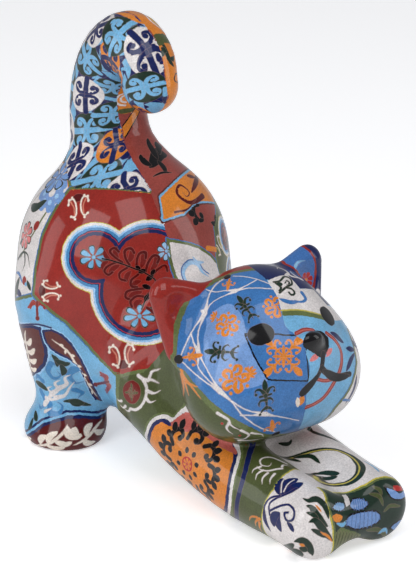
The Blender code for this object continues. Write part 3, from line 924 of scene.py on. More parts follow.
def paintHind(art, side):
    # Thigh, its two brown fields, and the foot.  The far leg repeats the near one on its own map.
    # The near lens runs on between the legs, so it is laid out on the side sheet.
    hind = side + "Hind"
    within = (side, "body")
    arch = ((-60, 40), (-20, 50), (-5.8, 53.7), (3.5, 57.6), (8.3, 58.6), (12, 58.2), (15.6, 56),
            (18.5, 51.5), (21.5, 43), (25, 33), (29, 22), (33, 15), (60, 8), (60, -9), (-60, -9))
    brown = ((-40, 48), (-14, 51), (-5.1, 53), (3.2, 56), (7.7, 56.3), (8.4, 52), (9.2, 48), (9.2, 44),
             (7.6, 39), (4, 35), (-5, 29.5), (-14, 26), (-40, 24))
    farLens = ((8.8, 56.4), (11.9, 56.7), (15, 54.8), (17.7, 50.6), (19.9, 46), (22, 40), (24, 34),
               (27.5, 25), (29.5, 19), (27.2, 21.6), (23.3, 29.5), (21, 35.2), (18.8, 40.3), (16.5, 43.5),
               (13.5, 45.6), (10.7, 47.9), (9.2, 51.2))
    nearLens = (
        (-40.2, -24.4), (-36.4, -23.9), (-32.1, -25.7), (-27.9, -29.7), (-24.3, -35.7), (-21.1, -42.6),
        (-18.1, -50.2), (-14.2, -59.5), (-17.3, -57), (-20.4, -51.3), (-22.9, -44), (-25.3, -39.2),
        (-29.1, -36.3), (-33.4, -34.3), (-36.8, -32.1), (-38.9, -29.4),
    )
    foot = ((-60, -6), (-60, 2), (-14, 2), (-3, 3), (0, 5), (2.8, 7.5), (6.6, 11.8), (11.5, 14),
            (16.6, 15.4), (22.7, 15), (29.2, 13.1), (60, 10), (60, -6))
    art.area(side + "Thigh", hind, arch, "sky", "thigh" if side == "left" else "none", within)
    art.area(side + "Brown", hind, brown, "brown", "navyLine", within)
    if side == "right":
        art.area(side + "Lens", "side", nearLens, "brown", "lens", within)
    else:
        art.area(side + "Lens", hind, farLens, "brown", "navyLine", within)
    art.area(side + "Foot", hind, foot, "darkRed", "doubleLine", within)


def paintTail(art):
    # Left half of the tail: orange with olive rings, then a dark patch at its root.
    far = ("left", "body")
    art.region("tailLeft", 32.6 - art.tailLength, "orange", "none", far)
    for k, (height, slant) in enumerate(((34.2, 0), (62, 0.1), (84, -0.1))):
        middle = height + slant * art.maps["tail"][0][:, 0]
        art.region(f"tailRing{k}", np.abs(art.tailLength - middle) - 1.5, "moss", "none", far)
    slope = art.points[:, 2] - 134 - 0.9 * (art.points[:, 0] + 5)
    art.region("tailStripe", np.abs(slope) - 2.2, "orange", "thin", far)


def paintHead(art):
    # Red head, olive jaw, the blue disc of the right cheek with a painted highlight on it, and the left half
    # in sky blue.
    art.region("head", art.gaps["head"], "red", "none")
    jaw = ((-60, -6), (-46, -3), (-30, -9.5), (-20, -17), (-10, -25), (0, -34), (20, -40), (20, -70),
           (-60, -70))
    art.area("jaw", "face", jaw, "moss", "none", ("head",))
    disc = ((-17, 46), (-25, 43.5), (-34, 40), (-50, 30), (-58, 6), (-46, -3), (-36, -6.3), (-28.3, -10.7),
            (-21.8, -15.4), (-15.4, -20), (-9.2, -24.8), (-1.8, -33.4), (8, -40), (20, -46), (20, 46),
            (-5, 46.5))
    art.area("disc", "face", disc, "blue", "disc", ("head", "rim"))
    # Painted highlight: a paler violet patch on the blue disc where the reflection of a lamp falls.
    paintedHighlight = ((-33, 22), (-25, 26), (-18, 27), (-13, 20), (-10, 5), (-3, -6), (-8, -9), (-18, -9), (-26, -4),
            (-31, 8))
    art.area("paintedHighlight", "face", paintedHighlight, "violet", "none", ("disc",), 4)
    tile = ((-12.4, 12.6), (-2, 12), (11, 10.5), (13.4, 2), (15.6, -9.6), (-2.9, -6.8), (-8, 2))
    art.area("tile", "face", tile, "blue", "thin", ("disc",))
    seam = ((-5, 47), (0, 39), (1.5, 35), (3.5, 31), (4.5, 27), (5, 21), (5.5, 15.5), (7, 13), (10, 10.5),
            (13.4, 2), (15.4, -3), (15.6, -10), (15.3, -40))
    rest = ((90, -60), (90, 80), (-20, 80))
    art.region("rightEar", np.maximum(art.gaps["earLift"], art.points[:, 0]), "red", "none", ("head",))
    art.area("leftHead", "face", seam + rest, "sky", "none", ("head",))
    crown = ((-5, 45), (0, 38), (8, 42), (13, 44), (17.5, 35), (30, 37.5), (38, 28), (48, 30), (90, 30),
             (90, 80), (-20, 80))
    art.area("crownLeft", "face", crown, "navy", "none", ("leftHead",))
    brow = ((0, 38), (7, 42), (13, 44), (17.5, 35), (30, 37.5), (38, 28), (50, 28), (90, 34), (90, 22),
            (40, 18), (26, 20.5), (4.9, 22), (3.5, 31))
    art.area("brow", "face", brow, "white", "none", ("leftHead",))
    browLine = ((4, 22.6), (14, 22.8), (26, 20.6), (36, 18), (36, 15.6), (26, 18), (14, 20), (4, 20))
    art.area("browLine", "face", browLine, "olive", "none", ("leftHead",))
    cheek = ((90, 16), (50, 12), (47, -6), (42, -16), (34, -28), (30, -44), (90, -44))
    art.area("cheekWhite", "face", cheek, "white", "panel", ("leftHead",))
    art.region("leftEar", np.maximum(art.gaps["earLift"], -art.points[:, 0]), "navy", "none", ("head",))
    inner = ((-14, 2.4), (-8, 9.6), (-1, 14.6), (5.4, 15.6), (8.6, 10), (8.6, 3), (5, -2), (-3, 0),
             (-9, -1))
    art.area("leftEarInner", "ear", inner, "earBlue", "ear", ("leftEar",), 4)
    nose = ((10.7, 7), (13, 10.8), (18, 12.4), (23, 11.8), (26.2, 9), (26, 5), (23.5, 1), (21, 0.3),
            (16, 3.2), (12, 5.2))
    art.area("nose", "face", nose, "black", "none", ("head",), 4)


def drawFigures(art):
    # The figures inside the areas; a later stroke lies over an earlier one.
    drawFlank(art)
    drawTail(art)
    drawDisc(art)
    drawLeftFace(art)
    drawRightLeg(art)
    drawLeftLeg(art)
    for side in ("right", "left"):
        drawHind(art, side)
    drawRear(art)
    drawBack(art)
    drawFarSide(art)


def daisy(art, mapName, centre, turn, size, ink, within):
    # Petals with a dark rim.
    art.figure("daisy", mapName, centre, turn, np.multiply(size, 1.08), ("green",), within)
    art.figure("petals", mapName, centre, turn, size, (ink,), within)
    art.line(mapName, "even", np.min(size) * 0.34, ink, (centre,), within)


def drawFlank(art):
    # Fans in the red panel's corners, daisies and an arabesque in the cartouche, birds on the band.
    within = ("panel", "cartouche")
    for centre, turn, size, shade in (
        ((-16.9, 35.6), 24, 5.2, 4.6), ((-25.6, -4), 98, 4.8, 5), ((-5.7, -34.5), 8, (5.4, 4.9), -3.4),
    ):
        mapName = "side" if shade < 0 else "flank"
        shadow = placed(((-3.4, shade), (3, shade)), centre, turn, 1)
        art.line(mapName, "leaf", 3.6, "darkRed", shadow, within)
        art.figure("fan", mapName, centre, turn, size, ("cream", "rose"), within)
    daisy(art, "side", (-17.6, 6.6), 10, (5.8, 4.7), "sky", within)
    daisy(art, "side", (1.5, -17.9), 0, (6.6, 4.6), "sky", within)
    daisy(art, "flank", (32, 24), 30, 5.2, "paleBlue", within)
    # Arabesque: rust leaves and dark red curls round a black stem with buds.
    art.strokes("flank", "rust", "leaf", within, (
        (2.6, (7, 15.6), (5, 19), (5.4, 22.4)), (2.8, (12, 15), (13.4, 18.6), (12.6, 22)),
        (3, (19, 13), (20, 17.4), (18.6, 21.6)), (3, (24.6, 12), (27, 16.4), (26, 21)),
        (2.4, (8, 13.6), (4.6, 11), (2.8, 8)), (2.6, (14, 11), (12, 8), (12, 4.6)),
        (2.8, (20, 6), (16.6, 4.4), (15, 1)), (2.8, (21, 0), (16.4, -1.4), (13.4, -4)),
        (2.6, (21, -4.6), (18, -6), (17.4, -9)), (2, (3, 15.4), (0.4, 17), (-0.6, 19.6)),
        (2, (2, 14.6), (-0.4, 12.6), (-0.6, 10)),
    ))
    art.strokes("flank", "darkRed", "even", within, (
        (1.2, (9, 15), (4.4, 17.4), (2.2, 19.6), (4.4, 21.4), (6.6, 20)),
        (1.3, (13, 14), (10.4, 17.4), (9.6, 21), (12.6, 22.6), (14.4, 20.6)),
        (1.4, (17, 12.6), (16.4, 17), (17.6, 21), (20.6, 21.6), (21, 18.8)),
        (1.4, (22, 11.4), (22.6, 16), (25, 20.6), (28.4, 20.2), (28, 17)),
        (1.4, (26, 10), (29.6, 14), (33, 15.6), (34.4, 12.6)),
        (1.1, (6, 14.6), (2.4, 12.4), (0.4, 9.6), (2.6, 7.8), (4.6, 9.4)),
        (1.2, (12, 12.6), (8.4, 9.6), (8.6, 6.4), (11.4, 5.6)),
        (1.3, (18, 9.4), (14.6, 6), (15, 2.6), (18, 2.4)),
        (1.3, (22.6, 2), (17, 1), (12.6, -0.4), (12.2, -3.6), (15, -4.6)),
        (1.3, (22.4, -2.6), (18, -2.6), (14.8, -5.6), (15.6, -8)),
        (1.3, (24, -1), (27, -4.6), (26, -8), (23.4, -7.6)),
    ))
    art.strokes("flank", "black", "leaf", within, (
        (2.6, (22, 12.4), (18, 10.4)), (3, (26.5, 9.6), (22.6, 6.4)), (2.6, (25.5, 2), (20.6, 3.6)),
        (2.4, (24.6, -1), (22, -4.8)), (2, (16, 13.8), (19, 12.4)), (2.4, (27, 13), (25, 9.6)),
    ))
    stem = ((-1, 15.3), (3, 15.2), (9, 14.2), (15, 12.6), (21.3, 10.7), (27.9, 6.5), (26, 1), (23.2, -3.3),
            (20.6, -8.6))
    art.line("flank", "even", 0.7, "black", stem, within)
    # Sky band.
    art.figure("bird", "flank", (-32, -13), 8, 5.6, ("red", "rust"), ("band",))
    art.figure("bird", "side", (-14.2, -46.2), -72, 5, ("red", "rust"), ("band", "rightThigh"))


def drawTail(art):
    # Chequered round tiles on navy squares, with a pinwheel at each corner; then the left half.
    # Each kind, named for its ink, has the ink of its pattern and its turn.
    kinds = {"green": ("sky", 88), "white": ("navy", -14), "orange": ("navy", -10)}
    rows = (
        ("tail", "green", (
            (-22.5, 59.3, 8.4), (-33.6, 25.2, 8.4), (-47.5, 3.4, 7), (-40, 52, 7.6), (-17, 8, 8),
            (-14, 42, 8.4), (-1, 25, 8.4), (-44, 33, 7.6),
        )),
        ("tail", "white", (
            (-30, 42.8, 8.4), (-32.5, 12, 7.4), (-17, 25, 8.4), (-6, 59, 8.4), (-2, 8, 8), (-58, -4, 6.6),
        )),
        ("tail", "orange", ((-48, 16.6, 7.4), (-24, 78.6, 7.6), (1, 42, 8.4), (-30, -5, 6.6))),
        ("tail", "green", ((-12, -8, 7),)),
        ("hook", "white", ((-12, 63, 8.4),)),
        ("hook", "green", ((-12.5, 77.5, 8.6),)),
        ("hook", "orange", ((4, 72, 8.4),)),
        ("hook", "white", ((-5.4, 89.6, 9),)),
        ("hook", "green", ((-9, 106, 9.6),)),
        ("hook", "orange", ((-27, 96, 7), (-21, 124, 8))),
    )
    spots = [(mapName, kind, spot[:2], spot[2]) for mapName, kind, row in rows for spot in row]
    square = ((-1.2, -1.2), (0, -1), (1.2, -1.2), (1, 0), (1.2, 1.2), (0, 1), (-1.2, 1.2), (-1, 0))
    for mapName, kind, centre, size in spots:
        outline = placed(square, centre, kinds[kind][1] + 8, size)
        art.area("navyTile", mapName, outline, "navy", "none", ("tiles", "rightHalf"))
    tiled = ("tiles", "navyTile")
    for mapName, kind, centre, size in spots:
        line, turn = kinds[kind]
        other = "sky" if line == "navy" else "navy"
        for corner in ((1.03, 1.03), (1.03, -1.03)):
            spot = placed((corner,), centre, turn, size)[0]
            art.figure("pinwheel", mapName, spot, turn, 0.8 * size, (line, other), tiled)
    for mapName, kind, centre, size in spots:
        line, turn = kinds[kind]
        art.figure("oval", mapName, centre, turn, size, (kind, line), tiled)
    left = ("tailLeft",)
    roundels = (("tail", (10, 48), 6), ("hook", (10, 76), 5.6), ("tail", (27, 56), 6), ("hook", (21, 98), 5))
    for mapName, centre, size in roundels:
        for share, ink in ((1.0, "white"), (0.66, "yellow"), (0.36, "white")):
            art.line(mapName, "even", 0.9, ink, arcLine(centre, size * share, 0, 330, 12), left)
    for size in (5.4, 3.4):
        art.line("tail", "even", 0.9, "white", arcLine((-49, 43), size, -90, 100, 8), left)
    art.figure("spiral", "hook", (9, 104), 70, 4.4, ("black",), left)
    art.figure("leaves", "hook", (5, 92), 70, 4, ("green",), left)
    art.figure("leaves", "tail", (30, 70), 70, 5, ("black",), left)


def drawDisc(art):
    # Net of thin lines round the disc, each flaring where it meets a knot; fleurons inside it.
    # The net and fleurons run over the disc's painted highlight as over the disc.
    white = ("disc", "paintedHighlight", "jaw")
    net = {
        "quarter": (
            ((-14.5, 30.3), (-18.6, 27.6), (-21.6, 23.4), (-23.5, 15.9)),
            ((-23.5, 15.9), (-28.9, 8.1), (-33.6, -2.3)),
            ((-23.5, 15.9), (-26.1, 8.1), (-25.9, 0.4)),
            ((-29, 8), (-27.7, 4), (-25.9, 0.4)),
            ((-33.6, -2.3), (-25.9, -8.8), (-17.6, -14.4)),
        ),
        "face": (
            ((-17, 44), (-8, 41), (1, 36.5)),
            ((-30, 35), (-22, 34.8), (-16, 34)),
            ((-16, 34), (-8, 34.4), (3, 33.5)),
            ((-34, 25), (-27, 30), (-16, 33.5)),
            ((-16, 33.5), (-10, 36.2), (-5, 39)),
            ((-32.8, 3.9), (-31.4, -2), (-20.7, -10)),
            ((-32.8, 3.9), (-27, -2.5), (-20.7, -10)),
            ((-20.7, -10), (-16, -14), (-12.5, -19)),
            ((-20.7, -10), (-12, -16.5), (-4, -20.3)),
            ((-13, -19), (-9, -19.6), (-4, -20.3)),
            ((-4, -20.3), (4, -25), (13, -30.5)),
            ((-12.5, -19), (-6, -26), (1, -33)),
        ),
    }
    knots = {
        "face": ((-16, 34), (-34, 24.7), (-32.8, 3.9), (-20.7, -10), (-4, -20.3)),
        "quarter": ((-23.5, 15.9), (-25.9, 0.4), (-17.6, -14.4)),
    }
    for mapName, path in [(mapName, path) for mapName, paths in net.items() for path in paths]:
        art.line(mapName, "even", 0.36, "white", path, white)
        for end, after in ((path[0], path[1]), (path[-1], path[-2])):
            reach = np.subtract(after, end) / math.dist(after, end) * 5
            if min(math.dist(end, knot) for knot in knots[mapName]) < 1.5:
                art.line(mapName, "taper", 1.7, "white", (end, np.add(end, reach)), white)
    rim = ("disc", "jaw", "head")
    art.line("quarter", "even", 3.6, "black", ((-33.8, -2.3),), rim)
    for centre in ((-20.4, 44.6), (2, -36)):
        art.line("face", "even", 4.2, "black", (centre,), rim)
    fleurs = (("face", (-19.2, 40), 172), ("quarter", (-29.6, -1.2), -80), ("face", (-0.4, -29.6), 8))
    for mapName, centre, turn in fleurs:
        art.figure("fleur", mapName, centre, turn, 4.6, ("orange",))
    art.figure("lace", "face", (-20.4, 17.2), 50, 5.4, ("orange",))
    art.figure("palmette", "face", (-27, 21.6), 58, 3.4, ("orange", "orange"))
    art.figure("lace", "face", (-15.5, -5.6), 10, 5.2, ("orange",))
    art.figure("palmette", "face", (-10.4, -3.8), -60, 2.8, ("orange", "orange"))
    art.figure("lace", "face", (2, 24.5), 0, 5, ("orange",), ("disc", "paintedHighlight"))
    art.figure("lily", "face", (-11.2, 24.4), 30, 6.2, ("green",))
    art.figure("lily", "face", (-21.6, 4.6), 88, 6.6, ("green",))
    art.figure("lily", "face", (-3.9, -14), 4, 6, ("green",))
    art.figure("crossed", "face", (3.6, 2.4), 43, 9.4, ("orange",), ("tile",))
    # Orange sprays and a white scroll on the jaw.
    jaw = ("jaw",)
    art.strokes("quarter", "orange", "taper", jaw, (
        (1.1, (-32.9, -5.8), (-31.4, -11), (-29.8, -16.4)), (1.1, (-32, -9), (-28, -13.6), (-24.9, -17.6)),
        (1.1, (-31, -11), (-27, -12.6), (-25.6, -12.2)), (1.2, (-32.6, -8), (-31.8, -14), (-32, -17)),
    ))
    art.strokes("face", "white", "taper", jaw, (
        (1.2, (-21.2, -18.3), (-17.4, -20.6), (-16.3, -23.3), (-12.8, -26)),
        (1.1, (-17, -22), (-18, -25), (-16, -28)),
        (1.1, (-12.8, -26), (-10, -29), (-12, -32), (-15.8, -30.8)),
        (1.2, (-14, -33), (-9, -34.4), (-3.8, -35.9)), (1, (-9, -28.3), (-5, -31), (-4, -34)),
    ))
    for centre in ((-13.4, -29), (-8, -37), (-19.6, -22.6)):
        art.line("face", "even", 1, "crimson", (centre,), jaw)


def drawLeftFace(art):
    # Crown, brow, cheek and ear of the left half, then the eyes, nose stem and mouth.
    half = ("leftHead",)
    art.strokes("face", "white", "taper", ("crownLeft", "leftHead"), (
        (2, (12, 43.4), (14.5, 46.6), (13, 50), (9.4, 51.4), (8.6, 49)),
        (2, (23.5, 43.6), (20, 44.6), (17.6, 47.4), (18.4, 50.8), (21, 50.6)),
        (1.6, (14, 45), (16, 43.6), (22, 43.8)),
    ))
    # Leafy scroll on the brow, in dark outline over white.
    art.strokes("face", "green", "even", ("brow",), (
        (1.1, (3.5, 37.6), (7, 38.6), (10.4, 42), (13.6, 41.4), (13.4, 37.4), (9.6, 35), (5.4, 31.6)),
        (1, (9.4, 37), (11.4, 39.4), (12, 37.6), (10.2, 36.8)),
        (1, (9.6, 34.6), (12.4, 34.2), (13.6, 32), (11.6, 30.6), (10.4, 32)),
        (1.2, (4.4, 37), (6.6, 34.6), (5.6, 32.6)),
    ))
    art.lines("face", ("brow",), (
        ("leaf", 2.6, "green", (4.6, 36.4), (8, 36.6)),
        ("leaf", 2.2, "blue", (4.6, 28.6), (10, 26.8), (15, 27.6)),
        ("taper", 2.2, "blue", (18.2, 32.6), (19.6, 29.4), (16.6, 27.4), (11, 27)),
    ))
    browEdge = ((4, 22.7), (14, 22.9), (26, 20.8), (36, 18.2))
    art.line("face", "even", 0.6, "yellow", browEdge, ("brow", "browLine", "leftHead"))
    ring = ((26, 11), (32, 7.2), (36.2, 1.6), (35.6, -6), (31, -14), (25.6, -20.4), (20, -22.8),
            (15.5, -23.4))
    for path, width in (
        (ring, 2.0),
        (((20, -9.4), (26, -11.5), (33.6, -11.6)), 1.8),
        (((10, 11.6), (14, 13), (18, 12.6)), 1.8),
    ):
        art.line("face", "even", width, "red", path, half)
        art.line("face", "even", 0.5, "dullPink", path, half)
    art.strokes("face", "pink", "leaf", half, ((2.6, (15, -0.4), (20, 2.5)), (3, (23, 1), (28.5, 3.6))))
    art.strokes("face", "navy", "leaf", half, (
        (3, (29, 11.4), (34, 9.4), (40, 5.4)), (2.8, (41, 2.4), (48, 0.5)),
        (2.6, (38.6, -9), (42.6, -4), (47, -1)),
    ))
    art.lines("face", ("disc",), (
        ("leaf", 3.4, "orange", (13.6, -16.6), (12.2, -21.4)),
        ("leaf", 2.2, "cream", (10.6, -17), (11.4, -22)),
    ))
    cheek = ("cheekWhite",)
    art.lines("face", cheek, (
        ("leaf", 2.2, "navy", (46, -12), (44, -20), (40, -27)),
        ("taper", 1.6, "blue", (38, -24), (43, -26), (46, -31), (43, -34), (40, -31)),
    ))
    art.figure("scroll", "face", (55, 4), 40, 5, ("navy",), cheek)
    art.figure("branch", "front", (33, 2), 70, 6.4, ("navy",), cheek)
    art.figure("branch", "front", (40, -14), -20, 5.6, ("green",), cheek)
    daisy(art, "front", (44, 8), 0, 5, "sky", cheek)
    # Left ear: flowers low on a blue field.
    ear = ("leftEar", "leftEarInner")
    art.figure("daisy", "ear", (-5, 3), 0, 3.4, ("crimson",), ear)
    art.figure("daisy", "ear", (4.6, 2.6), 20, 3.2, ("crimson",), ear)
    art.lines("ear", ear, (
        ("even", 1.2, "orange", (-5, 3)), ("even", 1.2, "orange", (4.6, 2.6)),
        ("even", 2.6, "white", (9, -3)), ("taper", 1.6, "sky", (-4, 8), (0, 11), (4, 11)),
    ))
    # Eyes, nose stem and mouth, in black gloss.
    for centre in ((-16.8, -73.9, 83.2), (16.6, -73.6, 83.6)):
        spot = roundMap(np.array([centre]), headMiddle, faceFront, 32)[0]
        art.line("front", "even", 9, "black", (spot - (0.8, 0.1), spot + (0.8, 0.1)))
    art.lines("face", None, (
        ("even", 2.6, "black", (22.2, 2), (21.9, -5)),
        ("even", 2.4, "black", (21.8, -4.4), (20.6, -8), (18.4, -11)),
        ("drop", 4.2, "black", (22, -5), (18, -11), (12, -16.6)),
        ("even", 2.8, "black", (22, -4.4), (26, -7.6), (32, -10.4), (40.4, -10.6)),
        ("leaf", 4.4, "black", (23, -5.4), (32, -10.8), (40.6, -11.4)),
    ))


def drawRightLeg(art):
    # Roundel and scrolls on the olive, a wreath on the orange panel, leaves on the paw.
    olive = ("shoulder", "foreOlive")
    art.line("rightFore", "even", 8.6, "rust", ((4.6, -19.6),), olive)
    art.figure("crossed", "rightFore", (4.6, -19.6), 45, 2.5, ("moss",), olive)
    art.line("rightFore", "even", 1.1, "white", arcLine((5, -19.4), 6.6, -60, 115, 8), olive)
    art.strokes("rightFore", "white", "taper", olive, (
        (1.3, (5, -12.8), (7.4, -10.4), (10.6, -9.2)), (1.3, (9, -14), (12, -12.4), (13.4, -10)),
        (1.3, (11, -16), (13.6, -15.6), (15, -13.4)), (1.2, (6.4, -11.4), (5, -9), (7, -7)),
        (1.2, (8, -25.4), (7.6, -27.6), (5.6, -28.6)), (1.2, (5.4, -26.6), (4.4, -29), (2.4, -29.4)),
        (1.1, (2.6, -26.6), (1, -28), (-1, -27.6)),
    ))
    # Wreath of leafy scrolls round a small flower.
    cart = ("orangePanel", "blush")
    art.line("rightFore", "even", 6.6, "crimson", ((47, -23.6),), cart)
    art.figure("petals", "rightFore", (47, -23.6), 20, 2.7, ("orange",), cart)
    for turn in range(8, 360, 45):
        c, s = cosSin(turn)
        spot = (47.4 + 13.6 * c, -22.8 + 11.4 * s)
        outward = math.degrees(math.atan2(s * 11.4, c * 13.6)) - 90
        art.figure("branch", "rightFore", spot, outward, 5, ("black",), cart)
        bud = placed(((0, 4.6), (0, 7.4)), (47, -23.6), turn + 20, 1)
        art.line("rightFore", "leaf", 2.2, "black", bud, cart)
    # Leafy white scroll on the olive below.
    art.strokes("rightFore", "white", "taper", olive, (
        (1.3, (84, 8), (78, 4.6), (77, -0.4), (80.4, -2.8), (83.4, -1), (82, 1.4)),
        (1.3, (88, 2), (85.6, -3.4), (82, -5), (79.4, -4.6)), (1.1, (81, -3.8), (79.6, -6.6), (80.4, -8.6)),
        (1.2, (83.4, -4.8), (82.8, -8), (84.2, -10.4)), (1.2, (86.4, -4.6), (86.6, -8), (88.4, -10.6)),
        (1.2, (89, -3), (90, -6.4), (91.6, -8.6)), (1, (87, 3), (85.4, 5), (86.6, 7)),
    ))
    art.strokes("rightFore", "orange", "taper", olive, (
        (1.6, (93, -27), (90, -30), (88.6, -34)), (1.4, (92.6, -29.4), (91.4, -33), (91, -37)),
        (1.3, (91.4, -27), (87.6, -28.4), (85.4, -32)),
    ))
    # Right paw: navy leaves and tendrils, then dark green ones towards the toes.
    paw = ("rightPaw",)
    art.strokes("rightFore", "navy", "leaf", paw, (
        (5.2, (100, -10), (96.2, -7), (93.6, -2.6)), (5.6, (100.4, -10), (98, -4), (97.4, 2.4)),
        (4.4, (101.6, -9), (101.6, -3), (101.4, 2)), (4.6, (104, -17.6), (104, -22), (107.4, -26.6)),
        (4.6, (104.4, -17.6), (101.6, -21.6), (102.4, -26.4)),
        (2.4, (109.8, -19.6), (112.4, -20.6), (114, -23)), (2.4, (95, -20), (96.6, -26), (99.6, -31)),
    ))
    art.strokes("rightFore", "navy", "even", paw, (
        (1, (103, -3), (102, -8), (98.6, -13), (97, -17), (99, -21.6)),
        (1, (99.6, -10.6), (96, -14), (94.8, -19), (96, -25)),
        (1.1, (98.6, -19.6), (102, -15.6), (106.4, -12), (111, -13), (112.2, -17), (109.4, -19),
         (106.8, -16.6), (108.6, -15.2)),
    ))
    art.strokes("rightFore", "white", "even", paw, (
        (0.45, (99, -9), (95.8, -5.4), (94.6, -3)), (0.45, (99.8, -8), (98, -3.4), (97.6, 0.4)),
    ))
    art.strokes("toes", "green", "leaf", paw, (
        (2.6, (-20.2, 9.3), (-18.6, 7.9), (-15.9, 8.3), (-13.7, 6.7), (-12.3, 3.6), (-11.6, 0.1)),
        (3.2, (-20, 6.1), (-18.2, 5.1), (-16.8, 2.1), (-14.3, -1.1), (-12, -2.7)),
        (1.8, (-20.5, 3.4), (-18.2, 2.4), (-16, -0.1)),
        (3, (-20.1, -0.4), (-17.6, 0), (-15, -2.7), (-12.5, -5.5), (-9.6, -8.1)),
        (1.8, (-19.3, -3), (-16.3, -4.6), (-12.7, -6.7)),
        (3, (-25.4, -6.7), (-23.1, -6.7), (-20.4, -8.9), (-18.5, -11.5), (-17.9, -12.8)),
        (1.8, (-23.4, -9.1), (-20.5, -11)), (3.2, (-29, -8.6), (-25.6, -10.6), (-21.2, -12.8)),
        (1.8, (-26.8, -7.1), (-25.3, -9.3)),
    ))
    art.strokes("toes", "orange", "leaf", paw, (
        (0.9, (-15.4, -4.4), (-12, -6.2), (-9.8, -8.4)), (0.9, (-23.6, -8), (-21.6, -9)),
        (0.7, (-16.6, 6), (-14.6, 3)),
    ))


def drawLeftLeg(art):
    # A large scroll on top of the leg, a flowering stem on its outer side, and veins on the toe.
    fore = ("leftFore",)
    scroll = ((73, -17), (78.4, -8), (85.9, 1.2), (93.1, 4), (101.7, 1.7), (106.6, -4), (106, -10.6),
              (100.8, -15.8), (94, -15.8), (91.4, -15))
    art.line("leftFore", "even", 2.2, "green", scroll, fore)
    art.line("leftFore", "leaf", 4.2, "green", scroll[2:8], fore)
    art.line("leftFore", "even", 0.5, "yellow", np.asarray(scroll) * 0.965 + (3.2, -0.4), fore)
    art.strokes("leftFore", "green", "leaf", fore, (
        (4.2, (91, -15.4), (95, -12), (99, -8.4)), (2.6, (95.4, -15.6), (98, -12.6), (99.6, -10.4)),
        (2.4, (75, -14), (81, -9), (88, -9.4)), (1.6, (72, -18), (76, -15), (80, -13.6)),
        (2.2, (62, -2), (72, 4), (82, 12)), (1.8, (56, 8), (66, 14), (76, 24)),
        (2, (63, -13), (66.4, -10.6), (66, -8)),
    ))
    art.line("leftFore", "leaf", 0.8, "white", ((92, -15.2), (97, -12)), fore)
    art.strokes("leftFore", "sky", "leaf", fore, (
        (1.6, (98, 7), (104, 7.4), (110, 5)), (1.6, (96, 9.6), (103, 11), (109.6, 8.6)),
        (1.6, (97, 13), (103, 15), (109, 12.6)),
    ))
    # Outer side of the leg: a long stem with curls, leaves and blossoms.
    stem = ((24, 38), (36, 28), (50, 30), (62, 38), (76, 34), (90, 24), (100, 26))
    art.line("leftFore", "even", 1.4, "green", stem, fore)
    art.line("leftFore", "even", 0.4, "yellow", np.asarray(stem) + (0.3, -0.9), fore)
    for centre, turn, size, kind, ink in (
        ((38, 20), 30, 7.4, "branch", "navy"),
        ((68, 24), 150, 6.6, "branch", "navy"),
        ((28, 46), -60, 6, "scroll", "green"),
        ((84, 40), 200, 6, "scroll", "green"),
        ((50, 14), 0, 4.6, "palmette", "green"),
        ((104, 32), -80, 5, "spray", "green"),
    ):
        art.figure(kind, "leftFore", centre, turn, size, (ink, "sky"), fore)
    daisy(art, "leftFore", (53, 40), 10, 6.4, "violet", fore)
    daisy(art, "leftFore", (88, 18), 30, 5.4, "sky", fore)
    daisy(art, "leftFore", (20, 26), 0, 5.4, "pink", fore)
    # Veins of the feathers and leaves on the toe.
    feathers = tuple(f"feather{k}" for k in range(5))
    for k in range(9):
        art.line("toes", "even", 0.35, "blue", ((0.4 + k, 2.4), (0.9 + 0.9 * k, 7)), feathers)
        art.line("toes", "even", 0.35, "blue", ((-3.6 + 2 * k, -4.6), (-2.4 + 1.8 * k, 1.6)), feathers)
        vein = ((-9 + 1.5 * k, -11 + 0.2 * k), (-7.4 + 1.4 * k, -4.4 - 0.3 * k))
        art.line("toes", "leaf", 0.8, "moss", vein, ("oliveToe",))
        art.line("toes", "even", 0.3, "sky", ((-9.6 + 0.9 * k, 3), (-9 + 0.8 * k, 6)), feathers)
    art.strokes("toes", "moss", "leaf", ("leftToe",), (
        (1.4, (8, 8.4), (12, 7), (13.6, 3.4)), (1.4, (6, -5.4), (12, -5.6), (17, -9)),
        (1.2, (14, 1), (17, 3), (22, 2.6)), (1.2, (10, 11), (12.6, 9.4), (13, 7)),
    ))
    art.strokes("toes", "sky", "leaf", ("leftToe",), (
        (1.4, (-8, -1.8), (-5, -2.6), (-3.4, -1)), (1.2, (12, -7), (15, -5.6), (16.4, -7.4)),
    ))


